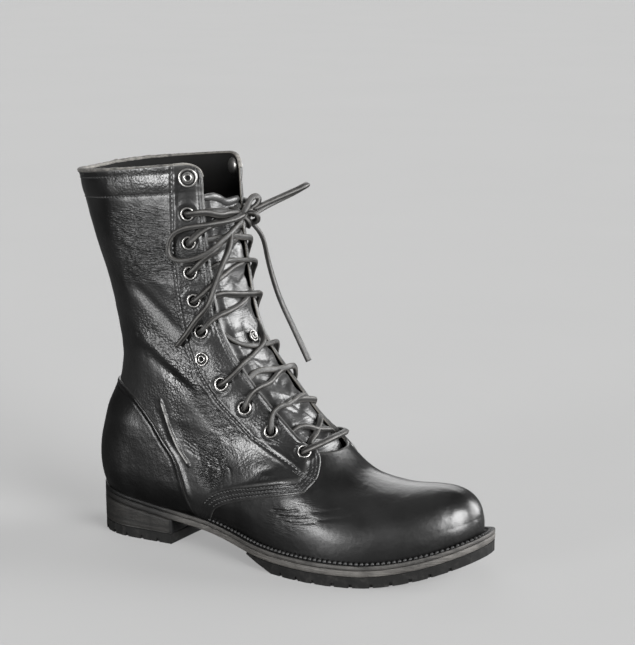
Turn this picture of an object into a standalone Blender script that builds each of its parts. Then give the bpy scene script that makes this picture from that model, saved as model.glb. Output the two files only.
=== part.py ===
"""Lace-up leather motorcycle boot, right foot, standing empty on its sole.

Run with: blender --background --python part.py

Frame: +X points to the toe, +Y to the wearer's left (the inner side of this right boot), +Z up.
Sizes and tables below are in millimetres from the back of the heel; mesh() turns them into metres
and moves the boot so that its box is centred over the origin.

The upper is one surface, surface(u, v).  v runs from the feather line (0), where the leather meets
the welt, up to the collar (15).  u runs round each ring: 0 at the front, 0.25 on the outer side,
0.5 at the back, 0.75 on the inner side, 1 at the front again.
"""
import math

import bmesh
import bpy
import numpy as np

MM = 0.001
GAP = 0.3                  # clearance between pieces that touch
SEAT_GAP = 0.45            # and between the curved pieces and the flat welt under them

# --- driving sizes ------------------------------------------------------------------------------
BALL_START = 206.0         # the toe rounds off from here
TOE_TIP = 291.0            # foremost point of the feather line
TOE_SWING = 4.0            # the toe tip lies this far to the inner side
HEEL_CAP = 34.0            # the heel rounds off over this length
WALL = 2.2                 # leather and lining of the upper
WELT_HEEL = 3.0            # width of the welt outside the upper, at the heel
WELT_FRONT = 7.5           # and round the forefoot
WELT_THICK = 3.0
WELT_INSIDE = 9.0          # how far the welt runs in under the upper
MIDSOLE_THICK = 4.0
OUTSOLE_START = 141.0      # the rubber half sole begins here, feathered out
TREAD_START = 165.0        # and reaches the ground here
TREAD_END = 225.0          # the toe spring lifts off here
TOE_SPRING = 20.0
SPRING_POWER = 1.8
HEEL_BREAST = 72.0
TOPLIFT_THICK = 7.0
INSOLE_THICK = 3.0
THROAT_START = 7.3         # ring at which the throat opens
THROAT_ROUND = 0.5         # rings over which its lower end is rounded
THROAT_HALF = 25.0         # half the gap between the two facings
CORNER_ROUND = 10.0        # radius of the facings' top front corners
COLLAR = 15.0
COLLAR_TILT = 2.6          # the collar stands this much higher on the inner side
TONGUE_THICK = 2.4
TONGUE_HALF = 31.0         # half-width of the tongue
TONGUE_DIP = 8.0           # how far its middle lies below the round of the shaft
TONGUE_LOW = 6.5           # first and last ring of the tongue
TONGUE_TOP = 13.9
COUNTER_THICK = 1.6        # the heel counter stands proud by this
LACE = 3.6                 # diameter of the lace
EYELET_OUTER = 3.9         # radius of an eyelet's flange
EYELET_HOLE = 2.2
SOCKET_RADIUS = 6.7        # snap socket
CAP_RADIUS = 6.0           # its cap on the inner side
STUD_RADIUS = 4.7          # ring studs at the ankle
TONGUE_STUD_RADIUS = 3.8
LUG_PITCH = 13.0           # spacing of the grooves in the sole's edge
GROOVE_WIDTH = 2.4
GROOVE_DEPTH = 2.6
GROOVE_REACH = 9.0         # how far a groove runs in from the edge

# Welt top height along the sole, without the toe spring.
WELT_TOP = (               # x, z
    (0.0, 34.6), (33.0, 30.2), (70.0, 25.2), (100.0, 21.6), (133.0, 17.0),
    (160.0, 15.2), (185.0, 15.0), (225.0, 15.0), (300.0, 15.0))

# Half-widths of the foot part, measured from its centre line.
STATIONS = (               # x, feather outer, feather inner, body outer, body inner
    (3.0, 31.5, 32.0, 34.5, 34.5),
    (37.0, 31.5, 32.0, 34.5, 34.5),
    (70.0, 31.0, 31.0, 36.5, 36.0),
    (100.0, 29.5, 24.5, 38.0, 35.5),
    (130.0, 34.5, 21.5, 42.0, 35.5),
    (154.0, 43.5, 27.0, 47.0, 37.5),
    (180.0, 50.0, 37.0, 51.5, 41.5),
    (206.0, 51.0, 41.5, 52.5, 44.0),
    (232.0, 44.4, 42.8, 46.4, 44.8),
    (255.0, 35.0, 38.8, 37.0, 40.6),
    (277.0, 22.2, 28.5, 23.6, 30.0))

# Rings of the upper.  The outer and inner half-widths drive the ankle and shaft.
RINGS = (                  # back x, back z, front x, front z, sag, outer, inner
    (3.0, 34.3, 291.0, 31.2, 1.00, 38.0, 37.0),    # 0 feather line
    (0.6, 46.0, 291.2, 42.0, 0.95, 38.0, 37.0),    # 1 toe wall
    (-0.4, 57.5, 287.8, 51.8, 0.88, 38.0, 37.0),   # 2
    (0.4, 67.5, 278.6, 59.0, 0.78, 38.0, 37.0),    # 3 toe cap
    (2.4, 76.0, 263.0, 61.8, 0.66, 38.0, 37.0),    # 4
    (4.4, 83.5, 240.0, 60.2, 0.50, 38.0, 37.0),    # 5 vamp
    (6.2, 90.5, 218.0, 61.6, 0.33, 38.0, 37.0),    # 6
    (8.2, 97.5, 199.0, 70.0, 0.15, 38.0, 37.0),    # 7 throat
    (10.8, 106.0, 180.0, 90.5, 0.00, 38.0, 36.5),  # 8 instep
    (13.8, 117.5, 158.0, 113.0, 0.00, 37.0, 36.0),  # 9
    (15.5, 132.0, 136.5, 136.5, 0.00, 36.0, 35.0),  # 10 ankle
    (12.8, 151.0, 122.0, 160.5, 0.00, 36.0, 35.5),  # 11
    (6.2, 177.0, 114.0, 190.0, 0.00, 37.0, 36.8),  # 12 shaft
    (-2.9, 204.0, 109.0, 218.0, 0.00, 38.2, 38.2),  # 13
    (-12.8, 231.0, 106.5, 244.0, 0.00, 39.0, 39.2),  # 14
    (-20.0, 256.0, 105.0, 271.0, 0.00, 39.5, 39.8))  # 15 collar

# Front limit of the heel counter: share of the way from the back of the boot to its front.
COUNTER = (                # v, share
    (0.17, 0.305), (1.0, 0.300), (2.0, 0.295), (3.75, 0.288), (5.0, 0.287), (6.0, 0.282), (6.8, 0.270),
    (7.4, 0.235), (7.9, 0.190), (8.2, 0.130), (8.38, 0.060))

# Eyelet pairs from the top down; |y| is the distance from the middle of the boot.
EYELETS = (                # v, |y|
    (13.72, 31.7), (12.98, 32.1), (12.25, 32.6), (11.61, 32.5), (10.85, 32.3),
    (9.29, 33.9), (8.57, 33.0), (7.93, 31.8), (7.46, 28.1))
SNAP = (14.64, 30.8)       # v, |y| of the snap at the top of each facing
STUD = (10.04, 34.2)       # v, |y| of the ring stud at the ankle
TONGUE_STUD = 10.03        # v of the stud on the tongue

# Free runs of the lace, each from the knot outwards.
KNOT = (107.5, 8.5, 231.5)
KNOT_RADII = (5.5, 6.5, 5.0)
LOOP_OUTER = (             # x, y, z
    (109.6, 0.8, 231.6), (109.8, -5.8, 230.6), (109.2, -12.9, 229.7), (104.9, -21.0, 228.7),
    (95.2, -30.9, 227.0), (86.3, -36.0, 225.2), (78.9, -39.0, 221.0), (75.6, -40.4, 213.0),
    (77.2, -40.2, 205.4), (84.0, -39.2, 203.3), (93.0, -36.6, 204.8), (100.7, -31.5, 208.8),
    (108.0, -22.5, 217.4), (108.4, -9.5, 222.8), (108.3, 1.6, 227.9))
LOOP_INNER = (             # x, y, z
    (111.0, 13.5, 234.2), (115.5, 20.0, 237.4), (121.5, 31.0, 241.5), (127.0, 44.0, 245.5),
    (129.0, 55.0, 248.0), (125.0, 61.0, 246.8), (119.0, 59.5, 243.0), (113.8, 51.0, 239.0),
    (110.3, 40.0, 235.8), (108.2, 28.0, 232.8), (108.5, 15.6, 230.3))
END_OUTER = (              # x, y, z
    (106.8, 3.6, 224.6), (104.6, -4.0, 221.5), (108.4, -14.5, 213.3), (108.8, -25.3, 199.7),
    (106.9, -28.8, 190.6), (105.5, -31.2, 183.9), (103.2, -33.8, 174.5), (95.4, -36.1, 164.1),
    (89.1, -38.3, 154.4), (80.8, -38.9, 144.0))
END_INNER = (              # x, y, z
    (109.0, 11.0, 226.4), (114.6, 16.0, 217.6), (116.4, 22.0, 201.5), (118.6, 25.0, 188.0),
    (122.4, 27.0, 174.6), (133.5, 29.0, 151.2), (145.4, 31.0, 127.7))
LEAD_OUTER = (             # x, y, z, after its start at the top eyelet
    (103.0, -20.0, 233.8), (104.4, -11.0, 233.4), (104.2, 2.2, 232.4))
LEAD_INNER = (             # x, y, z
    (103.0, 19.5, 233.6), (103.5, 14.5, 232.5))

SHAFT_POWER = 2.4          # squareness of the shaft's oval
ARCH_POWER = 2.5           # squareness of the forefoot's arch
TOE_POWER = 2.4            # squareness of the toe's plan
BULGE_HEIGHT = 22.0        # the body width is reached this far above the welt
BLEND_LOW = 5.5            # below this ring the foot stations shape the upper,
BLEND_HIGH = 9.5           # and above this one the shaft's ovals do


# --- curves -------------------------------------------------------------------------------------
def spline(knots, values):
    """Natural cubic spline through the values, which may be numbers or rows of numbers."""
    knots = np.asarray(knots, float)
    values = np.asarray(values, float)
    count = len(knots)
    step = np.diff(knots)
    system = np.eye(count)
    right = np.zeros_like(values)
    for i in range(1, count - 1):
        system[i, i - 1:i + 2] = step[i - 1], 2.0 * (step[i - 1] + step[i]), step[i]
        rise = (values[i + 1] - values[i]) / step[i] - (values[i] - values[i - 1]) / step[i - 1]
        right[i] = 6.0 * rise
    bend = np.linalg.solve(system, right)

    def evaluate(at):
        at = np.clip(at, knots[0], knots[-1])
        i = np.clip(np.searchsorted(knots, at) - 1, 0, count - 2)
        h = step[i]
        a = knots[i + 1] - at
        b = at - knots[i]
        if values.ndim > 1:
            h, a, b = (np.asarray(q)[..., None] for q in (h, a, b))
        cubic = (bend[i] * a ** 3 + bend[i + 1] * b ** 3) / (6.0 * h)
        linear = (values[i] / h - bend[i] * h / 6.0) * a + (values[i + 1] / h - bend[i + 1] * h / 6.0) * b
        return cubic + linear
    return evaluate


def smooth(low, high, x):
    """0 below low, 1 above high, with a soft ramp between."""
    t = np.clip((x - low) / (high - low), 0.0, 1.0)
    return t * t * (3.0 - 2.0 * t)


def column(table, index):
    return [row[index] for row in table]


def toe_round(x, tip=TOE_TIP):
    """Shrinks the half-widths to nothing at the toe tip."""
    t = np.clip((x - BALL_START) / (tip - BALL_START), 0.0, 1.0)
    return np.sqrt(1.0 - t ** TOE_POWER)


def toe_spring(x):
    return TOE_SPRING * np.clip((x - TREAD_END) / (300.0 - TREAD_END), 0.0, 2.0) ** SPRING_POWER


WELT_TOP_CURVE = spline(column(WELT_TOP, 0), column(WELT_TOP, 1))
STATION_CURVES = [
    spline(column(STATIONS, 0), [row[k] / toe_round(row[0]) for row in STATIONS]) for k in (1, 2, 3, 4)]
RING_CURVE = spline(range(len(RINGS)), RINGS)
RIDGE = RING_CURVE(np.linspace(0.0, COLLAR, 901))[::-1, 2:4]
RIDGE_X = np.maximum.accumulate(RIDGE[:, 0])


def welt_top(x):
    return WELT_TOP_CURVE(x) + toe_spring(x)


def centre_line(x):
    return TOE_SWING * (np.clip(x - 180.0, 0.0, None) / (TOE_TIP - 180.0)) ** 2


def ridge_height(x):
    return np.interp(x, RIDGE_X, RIDGE[:, 1])


# --- the upper's surface ------------------------------------------------------------------------
def surface(u, v):
    """Point of the upper's outer face, in millimetres."""
    u, v = np.broadcast_arrays(np.asarray(u, float), np.asarray(v, float))
    ring = RING_CURVE(v)
    back_x, back_z, front_x, front_z, sag, outer, inner = (ring[..., k] for k in range(7))
    along = (1.0 + np.cos(2.0 * math.pi * u)) / 2.0
    lateral = np.sin(2.0 * math.pi * u) >= 0.0
    x = back_x + (front_x - back_x) * along
    z = back_z + (front_z - back_z) * along
    sole_x = RINGS[0][0] + (RINGS[0][2] - RINGS[0][0]) * along
    sole_z = RINGS[0][1] + (RINGS[0][3] - RINGS[0][1]) * along
    z = z + sag * (welt_top(sole_x) - sole_z)

    height = z - welt_top(x)
    bulge = 1.0 - (1.0 - np.clip(height / BULGE_HEIGHT, 0.0, 1.0)) ** 2
    feather = np.where(lateral, STATION_CURVES[0](x), STATION_CURVES[1](x))
    body = np.where(lateral, STATION_CURVES[2](x), STATION_CURVES[3](x))
    reach = np.clip(height / np.maximum(ridge_height(x) - welt_top(x), 1.0), 0.0, 1.0)
    arch = np.sqrt(np.maximum(1.0 - reach ** ARCH_POWER, 0.0))
    heel = np.sqrt(1.0 - (1.0 - np.clip((x - back_x) / HEEL_CAP, 0.0, 1.0)) ** 2)
    toe = toe_round(x, np.maximum(front_x, TOE_TIP))
    foot = (feather + (body - feather) * bulge) * toe * arch * heel

    oval = np.sqrt(np.maximum(1.0 - np.abs(2.0 * along - 1.0) ** SHAFT_POWER, 0.0))
    shaft = np.where(lateral, outer, inner) * oval
    blend = smooth(BLEND_LOW, BLEND_HIGH, v)
    half = foot + (shaft - foot) * blend
    y = centre_line(x) + np.where(lateral, -half, half)
    z = z + COLLAR_TILT * smooth(11.0, COLLAR, v) * smooth(0.0, 38.0, y)
    return np.stack([x, y, z], axis=-1)


def normal(u, v):
    """Unit normal of the surface, pointing out of the boot."""
    du, dv = 0.002, 0.02
    low = np.clip(v - dv, 0.0, COLLAR)
    high = np.clip(v + dv, 0.0, COLLAR)
    across = surface(u + du, v) - surface(u - du, v)
    up = surface(u, high) - surface(u, low)
    n = np.cross(up, across)
    return n / np.linalg.norm(n, axis=-1, keepdims=True)


def inside(u, v, depth):
    return surface(u, v) - normal(u, v) * depth


def gap_at(v):
    """Half the throat's gap at a ring."""
    t = np.clip((v - THROAT_START) / THROAT_ROUND, 0.0, 1.0)
    return THROAT_HALF * math.sqrt(1.0 - (1.0 - t) ** 2)


def edge_u(v, side, half):
    """u where the ring lies the given distance from the middle; side -1 is the outer side."""
    low, high = 0.0, 0.2
    for _ in range(40):
        middle = (low + high) / 2.0
        u = middle if side < 0 else 1.0 - middle
        if abs(surface(u, v)[1]) < half:
            low = middle
        else:
            high = middle
    return low if side < 0 else 1.0 - low


def ring_span(v):
    """First and last u of a ring: the whole ring below the throat, facing to facing above it."""
    half = gap_at(v)
    if half <= 0.0:
        return 0.0, 1.0
    return edge_u(v, -1, half), edge_u(v, 1, half)


# --- meshes -------------------------------------------------------------------------------------
CENTRE = (139.2, -3.8, 0.0)  # middle of the boot's footprint


def material(name, colour, roughness, metallic=0.0):
    made = bpy.data.materials.get(name)
    if made is None:
        made = bpy.data.materials.new(name)
        made.use_nodes = True
        shader = made.node_tree.nodes["Principled BSDF"]
        shader.inputs["Base Color"].default_value = (*colour, 1.0)
        shader.inputs["Roughness"].default_value = roughness
        shader.inputs["Metallic"].default_value = metallic
    return made


def black_leather():
    return material("black_leather", (0.012, 0.012, 0.012), 0.35)


def sole_leather():
    return material("sole_leather", (0.14, 0.12, 0.10), 0.55)


def black_rubber():
    return material("black_rubber", (0.02, 0.02, 0.02), 0.7)


def dark_nickel():
    return material("dark_nickel", (0.35, 0.34, 0.33), 0.3, 1.0)


def lace_leather():
    return material("lace_leather", (0.03, 0.028, 0.026), 0.5)


def mesh(name, vertices, faces, look):
    """One object from points in millimetres."""
    points = (np.asarray(vertices, float) - CENTRE) * MM
    data = bpy.data.meshes.new(name)
    data.from_pydata([tuple(p) for p in points], [], faces)
    build = bmesh.new()
    build.from_mesh(data)
    bmesh.ops.triangulate(build, faces=build.faces[:])
    bmesh.ops.recalc_face_normals(build, faces=build.faces[:])
    build.to_mesh(data)
    build.free()
    data.materials.append(look)
    made = bpy.data.objects.new(name, data)
    bpy.context.collection.objects.link(made)
    return made


def strip(first, second, closed=True):
    """Quads between two equal rows of vertex numbers."""
    count = len(first)
    last = count if closed else count - 1
    return [(first[i], first[(i + 1) % count], second[(i + 1) % count], second[i]) for i in range(last)]


# --- sole ---------------------------------------------------------------------------------------
OUTLINE_POINTS = 64


def sole_outline(inset=0.0, count=OUTLINE_POINTS):
    """Plan of the welt's outer edge: the feather line widened by the welt, less the inset."""
    u = (np.arange(count) + 0.5) / count
    flat = surface(u, 0.0)[:, :2]
    direction = surface(u + 0.001, 0.0)[:, :2] - surface(u - 0.001, 0.0)[:, :2]
    out = np.stack([direction[:, 1], -direction[:, 0]], axis=1)
    out = out / np.linalg.norm(out, axis=1, keepdims=True)
    middle = np.array([150.0, 0.0])
    if np.sum(out[0] * (flat[0] - middle)) < 0.0:
        out = -out
    width = WELT_HEEL + (WELT_FRONT - WELT_HEEL) * smooth(60.0, 150.0, flat[:, 0])
    return flat + out * (width - inset)[:, None]


def plate_rows(outline):
    """Splits an outline into matching outer-side and inner-side points from heel to toe."""
    half = len(outline) // 2
    outer = outline[:half][::-1]
    inner = outline[half:]
    return outer, inner


def plate(name, outline, top, bottom, look, start=None, end=None):
    """Sole layer between two heights that are functions of x, cut at start and end."""
    outer, inner = plate_rows(outline)
    stations = np.unique(np.concatenate([outer[:, 0], inner[:, 0]]))
    first = max(outer[0, 0], inner[0, 0]) if start is None else start
    last = min(outer[-1, 0], inner[-1, 0]) if end is None else end
    stations = [first] + [s for s in stations if first + 0.8 < s < last - 0.8] + [last]
    kept = [stations[0]]
    for s in stations[1:]:
        if s - kept[-1] > 1.2 or s == stations[-1]:
            kept.append(s)
    kept = np.array(kept)
    y_out = np.interp(kept, outer[:, 0], outer[:, 1])
    y_in = np.interp(kept, inner[:, 0], inner[:, 1])
    n = len(kept)
    rows = [
        np.stack([kept, y_out, bottom(kept)], axis=1), np.stack([kept, y_in, bottom(kept)], axis=1),
        np.stack([kept, y_in, top(kept)], axis=1), np.stack([kept, y_out, top(kept)], axis=1)]
    vertices = np.concatenate(rows)
    number = [[k * n + i for i in range(n)] for k in range(4)]
    faces = []
    for k in range(4):
        faces += strip(number[k], number[(k + 1) % 4], closed=False)
    faces.append(tuple(number[k][0] for k in range(4)))
    faces.append(tuple(number[k][-1] for k in reversed(range(4))))
    return mesh(name, vertices, faces, look)


def midsole_top(x):
    return welt_top(x) - WELT_THICK - GAP


def midsole_bottom(x):
    return midsole_top(x) - MIDSOLE_THICK


def outsole_bottom(x):
    feathered = midsole_bottom(OUTSOLE_START) - GAP - 1.0
    wedge = feathered * np.clip((TREAD_START - x) / (TREAD_START - OUTSOLE_START), 0.0, 1.0)
    return wedge + toe_spring(x)


def tread_cutter(name, grooves):
    """One mesh of upright boxes; each groove is (middle x, y, direction x, y, length, floor, top)."""
    vertices, faces = [], []
    for x, y, ax, ay, length, floor, top in grooves:
        base = len(vertices)
        for z in (floor, top):
            for a, b in ((-1, -1), (1, -1), (1, 1), (-1, 1)):
                along, across = a * length / 2.0, b * GROOVE_WIDTH / 2.0
                vertices.append((x + ax * along - ay * across, y + ay * along + ax * across, z))
        faces.append(tuple(base + k for k in (3, 2, 1, 0)))
        faces.append(tuple(base + k for k in (4, 5, 6, 7)))
        faces += strip([base + k for k in range(4)], [base + 4 + k for k in range(4)])
    cutter = mesh(name, vertices, faces, black_rubber())
    hide(cutter)
    return cutter


def edge_grooves(first, last, bottom):
    """Grooves across the sole's edge, evenly spaced along it between two x stations."""
    outline = sole_outline(0.0, 720)
    run = np.concatenate([[0.0], np.cumsum(np.linalg.norm(np.diff(outline, axis=0), axis=1))])
    grooves = []
    for at in np.arange(LUG_PITCH / 2.0, run[-1], LUG_PITCH):
        i = int(np.searchsorted(run, at))
        x, y = outline[i]
        if not first <= x <= last:
            continue
        ahead = outline[(i + 1) % len(outline)] - outline[i - 1]
        inward = np.array([-ahead[1], ahead[0]]) / np.linalg.norm(ahead)
        if np.dot(inward, np.array([150.0, 0.0]) - (x, y)) < 0.0:
            inward = -inward
        centre = outline[i] + inward * (GROOVE_REACH / 2.0 - 1.5)
        low = float(bottom(np.array(x)))
        grooves.append((*centre, *inward, GROOVE_REACH + 3.0, low - 4.0, low + GROOVE_DEPTH))
    return grooves


def cross_grooves(first, last, inset, bottom):
    """Grooves across the middle of the tread."""
    outer, inner = plate_rows(sole_outline())
    grooves = []
    for x in np.arange(first, last, LUG_PITCH + 2.0):
        low_y = np.interp(x, outer[:, 0], outer[:, 1]) + inset
        high_y = np.interp(x, inner[:, 0], inner[:, 1]) - inset
        low = float(bottom(np.array(x)))
        grooves.append((x, (low_y + high_y) / 2.0, 0.0, 1.0, high_y - low_y, low - 4.0, low + GROOVE_DEPTH))
    return grooves


def cut(piece, cutter):
    carve = piece.modifiers.new("grooves", "BOOLEAN")
    carve.operation = "DIFFERENCE"
    carve.solver = "EXACT"
    carve.object = cutter


def build_sole():
    leather, rubber = sole_leather(), black_rubber()
    tread = plate("outsole", sole_outline(), lambda x: midsole_bottom(x) - GAP, outsole_bottom, rubber,
                  start=OUTSOLE_START)
    grooves = edge_grooves(TREAD_START + 4.0, 288.0, outsole_bottom)
    grooves += cross_grooves(TREAD_START + 7.0, 268.0, 16.0, outsole_bottom)
    cut(tread, tread_cutter("tread_cutter", grooves))
    plate("midsole", sole_outline(), midsole_top, midsole_bottom, leather)
    plate("heel_stack", sole_outline(), lambda x: midsole_bottom(x) - GAP,
          lambda x: TOPLIFT_THICK + GAP + 0.0 * x, leather, end=HEEL_BREAST)
    toplift = plate("heel_toplift", sole_outline(0.4), lambda x: TOPLIFT_THICK + 0.0 * x, lambda x: 0.0 * x,
                    rubber, end=HEEL_BREAST)
    cut(toplift, tread_cutter("heel_cutter", edge_grooves(4.0, HEEL_BREAST - 6.0, lambda x: 0.0 * x)))
    build_welt(leather)
    plate("insole", insole_outline(), lambda x: welt_top(x) + SEAT_GAP + INSOLE_THICK,
          lambda x: welt_top(x) + SEAT_GAP, material("insole_leather", (0.20, 0.15, 0.10), 0.6))


def insole_outline():
    u = (np.arange(OUTLINE_POINTS) + 0.5) / OUTLINE_POINTS
    return inside(u, 0.0, WALL + 1.2)[:, :2]


def build_welt(look):
    """Leather strip all round between the midsole and the upper."""
    outer = sole_outline()
    width = WELT_HEEL + (WELT_FRONT - WELT_HEEL) * smooth(60.0, 150.0, outer[:, 0])
    inner = sole_outline(1.0) - sole_outline()
    inner = outer + inner * (width + WELT_INSIDE)[:, None]
    n = len(outer)
    rows = []
    for flat, drop in ((outer, WELT_THICK), (inner, WELT_THICK), (inner, 0.0), (outer, 0.0)):
        rows.append(np.column_stack([flat, welt_top(flat[:, 0]) - drop]))
    number = [[k * n + i for i in range(n)] for k in range(4)]
    faces = []
    for k in range(4):
        faces += strip(number[k], number[(k + 1) % 4])
    mesh("welt", np.concatenate(rows), faces, look)


# --- upper --------------------------------------------------------------------------------------
UPPER_COLUMNS = 38
UPPER_ROWS = (0.0, 0.5, 1.1, 1.8, 2.5, 3.2, 4.0, 4.8, 5.6, 6.4, THROAT_START, 7.35, 7.5, 7.8, 8.4, 9.1,
              9.9, 10.7, 11.6, 12.5, 13.4, 14.3, 14.7, COLLAR)


def corner_drop(u, v, first, last):
    """Lowers the collar towards the facings' rounded top corners, in rings."""
    edge = np.minimum(np.abs(u - first), np.abs(last - u))
    reach = np.clip(edge / 0.045, 0.0, 1.0)
    drop = CORNER_ROUND * (1.0 - np.sqrt(1.0 - (1.0 - reach) ** 2))
    return drop / 27.0 * smooth(13.0, COLLAR, v)


def upper_grid(rows, columns, depth):
    grid = []
    for v in rows:
        first, last = ring_span(v)
        u = first + (last - first) * np.arange(columns + 1) / columns
        level = v - corner_drop(u, v, first, last) if v > 13.0 else np.full(columns + 1, v)
        grid.append(inside(u, level, depth) if depth else surface(u, level))
    return np.array(grid)


def build_upper():
    outer = upper_grid(UPPER_ROWS, UPPER_COLUMNS, 0.0)
    inner = upper_grid(UPPER_ROWS, UPPER_COLUMNS, WALL)
    outer[0, :, 2] += SEAT_GAP
    inner[0, :, 2] = outer[0, :, 2]
    vertices, faces = [], []
    numbers = []
    closed_rows = sum(1 for v in UPPER_ROWS if v <= THROAT_START)
    for grid in (outer, inner):
        layer = []
        for r, row in enumerate(grid):
            points = row[:-1] if r < closed_rows else row
            layer.append([len(vertices) + i for i in range(len(points))])
            vertices.extend(points)
            if r < closed_rows:
                layer[-1].append(layer[-1][0])
        numbers.append(layer)
    for layer in numbers:
        for r in range(len(UPPER_ROWS) - 1):
            faces += strip(layer[r], layer[r + 1], closed=False)
    out, ins = numbers
    for r in (0, len(UPPER_ROWS) - 1):
        faces += strip(out[r], ins[r], closed=False)
    for r in range(closed_rows - 1, len(UPPER_ROWS) - 1):
        for c in (0, -1):
            faces.append((out[r][c], out[r + 1][c], ins[r + 1][c], ins[r][c]))
    mesh("upper", vertices, faces, black_leather())


TONGUE_COLUMNS = 12
TONGUE_ROWS = 16


def build_tongue():
    """Leather tongue under both facings, pressed flatter than the shaft between them."""
    front, back = [], []
    for v in np.linspace(TONGUE_LOW, TONGUE_TOP, TONGUE_ROWS):
        half = TONGUE_HALF - 5.0 * smooth(TONGUE_TOP - 0.5, TONGUE_TOP, v)
        widths = half * np.linspace(-1.0, 1.0, TONGUE_COLUMNS + 1)
        front.append([shaft_point(y, v, tongue_depth(y)) for y in widths])
        back.append([shaft_point(y, v, tongue_depth(y) + TONGUE_THICK) for y in widths])
    sheet_solid("tongue", np.array(front), np.array(back), black_leather())


COUNTER_COLUMNS = 22
COUNTER_ROWS = 11
COUNTER_SEAT = 0.7        # its inner face clears the upper's facets by this


def build_counter():
    """Outside heel counter: a shell patch standing proud of the upper round the heel."""
    levels = column(COUNTER, 0)
    shares = column(COUNTER, 1)
    layers = []
    for depth in (-COUNTER_SEAT, -COUNTER_SEAT - COUNTER_THICK):
        grid = []
        for v in np.concatenate([np.linspace(levels[0], levels[-3], COUNTER_ROWS - 2), levels[-2:]]):
            first = math.acos(2.0 * np.interp(v, levels, shares) - 1.0) / (2.0 * math.pi)
            grid.append(inside(np.linspace(first, 1.0 - first, COUNTER_COLUMNS + 1), v, depth))
        layers.append(np.array(grid))
    sheet_solid("heel_counter", layers[0], layers[1], black_leather())


def sheet_solid(name, front, back, look):
    """Closed solid between two grids of points with the same rows and columns."""
    count, width = front.shape[:2]
    faces = []
    for base in (0, count * width):
        for r in range(count - 1):
            first = [base + r * width + i for i in range(width)]
            faces += strip(first, [n + width for n in first], closed=False)
    rim = list(range(width))
    rim += [r * width + width - 1 for r in range(1, count)]
    rim += [count * width - 1 - i for i in range(1, width)]
    rim += [r * width for r in range(count - 2, 0, -1)]
    faces += strip(rim, [n + count * width for n in rim])
    mesh(name, np.concatenate([front.reshape(-1, 3), back.reshape(-1, 3)]), faces, look)


# --- eyelets, snaps and studs -------------------------------------------------------------------
TURN_STEPS = 8


def turned(name, centre, axis, profile, look):
    """Turns a closed profile of (radius, height) about an axis; radius 0 is a point on the axis."""
    axis = np.asarray(axis) / np.linalg.norm(axis)
    first = np.cross(axis, (0.0, 0.0, 1.0) if abs(axis[2]) < 0.9 else (1.0, 0.0, 0.0))
    first = first / np.linalg.norm(first)
    second = np.cross(axis, first)
    vertices, rings = [], []
    for radius, height in profile:
        base = np.asarray(centre) + axis * height
        if radius == 0.0:
            rings.append([len(vertices)] * TURN_STEPS)
            vertices.append(base)
            continue
        rings.append([len(vertices) + k for k in range(TURN_STEPS)])
        for k in range(TURN_STEPS):
            angle = 2.0 * math.pi * k / TURN_STEPS
            vertices.append(base + radius * (math.cos(angle) * first + math.sin(angle) * second))
    faces = []
    closed = all(radius > 0.0 for radius, _ in profile)
    for k in range(len(profile) if closed else len(profile) - 1):
        for quad in strip(rings[k], rings[(k + 1) % len(profile)]):
            corners = tuple(dict.fromkeys(quad))
            if len(corners) > 2:
                faces.append(corners)
    mesh(name, vertices, faces, look)


def facing_point(v, half, side, lift):
    """Point and normal on a facing, lifted off the leather; side -1 is the outer side."""
    u = edge_u(v, side, half)
    return inside(u, v, -lift), normal(u, v)


EYELET_SEAT = 0.6          # the flat flange bridges the leather's curve by this much
SOCKET_SEAT = 0.8
STUD_SEAT = 0.7


def build_metal():
    nickel = dark_nickel()
    flange = ((EYELET_OUTER, 0.0), (EYELET_OUTER - 0.5, 0.8), (EYELET_HOLE + 0.3, 0.8), (EYELET_HOLE, 0.0))
    socket = (
        (SOCKET_RADIUS, 0.0), (SOCKET_RADIUS, 0.7), (SOCKET_RADIUS - 1.3, 1.6), (3.6, 1.2), (2.6, 1.2), (2.6, 0.0))
    cap = ((0.0, 2.2), (3.6, 1.8), (CAP_RADIUS, 0.7), (CAP_RADIUS, 0.0), (0.0, 0.0))
    for side, word in ((-1, "outer"), (1, "inner")):
        for number, (v, half) in enumerate(EYELETS, 1):
            point, out = facing_point(v, half, side, EYELET_SEAT)
            turned(f"eyelet_{word}_{number}", point, out, flange, nickel)
        point, out = facing_point(*SNAP, side, SOCKET_SEAT)
        turned(f"snap_socket_{word}", point, out, socket, nickel)
        point, out = facing_point(*SNAP, side, -WALL - SOCKET_SEAT)
        turned(f"snap_cap_{word}", point, -out, cap, nickel)
        point, out = facing_point(*STUD, side, STUD_SEAT)
        turned(f"ring_stud_{word}", point, out, stud_profile(STUD_RADIUS), nickel)
    out = normal(0.0, TONGUE_STUD)
    point = inside(0.0, TONGUE_STUD, tongue_depth(0.0) - STUD_SEAT)
    turned("ring_stud_tongue", point, out, stud_profile(TONGUE_STUD_RADIUS), nickel)


def stud_profile(radius):
    return ((0.0, 2.4), (1.5, 2.2), (1.6, 1.0), (radius - 1.4, 1.0), (radius - 0.8, 1.6), (radius, 0.0), (0.0, 0.0))


# --- lace ---------------------------------------------------------------------------------------
LACE_SIDES = 6
LACE_LIFT = LACE / 2.0 + 0.75     # centre of the lace above what it lies on
CROSS_Y = (-25.5, -23.5, -20.5, -14.0, -5.0, 5.0, 14.0, 21.5)   # stations across the throat
BOTTOM_Y = (-15.0, -5.0, 5.0, 14.0, 21.5)                        # the bottom pair starts underneath
CROSS_RISE = 0.64                 # share of the climb to the next pair made by the last station
CROSS_SAG = 1.6                   # it climbs late, so that strands cross low
CROSS_STACK = 1.2                 # one strand lies this much above the other
OVER_FROM, OVER_TO = 15.0, 23.5   # the lace rises over the facing's edge between these
BOTTOM_SHIFT = 0.06               # rings between the bottom crossing and the bar over it
BAR_POINTS = 9


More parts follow.
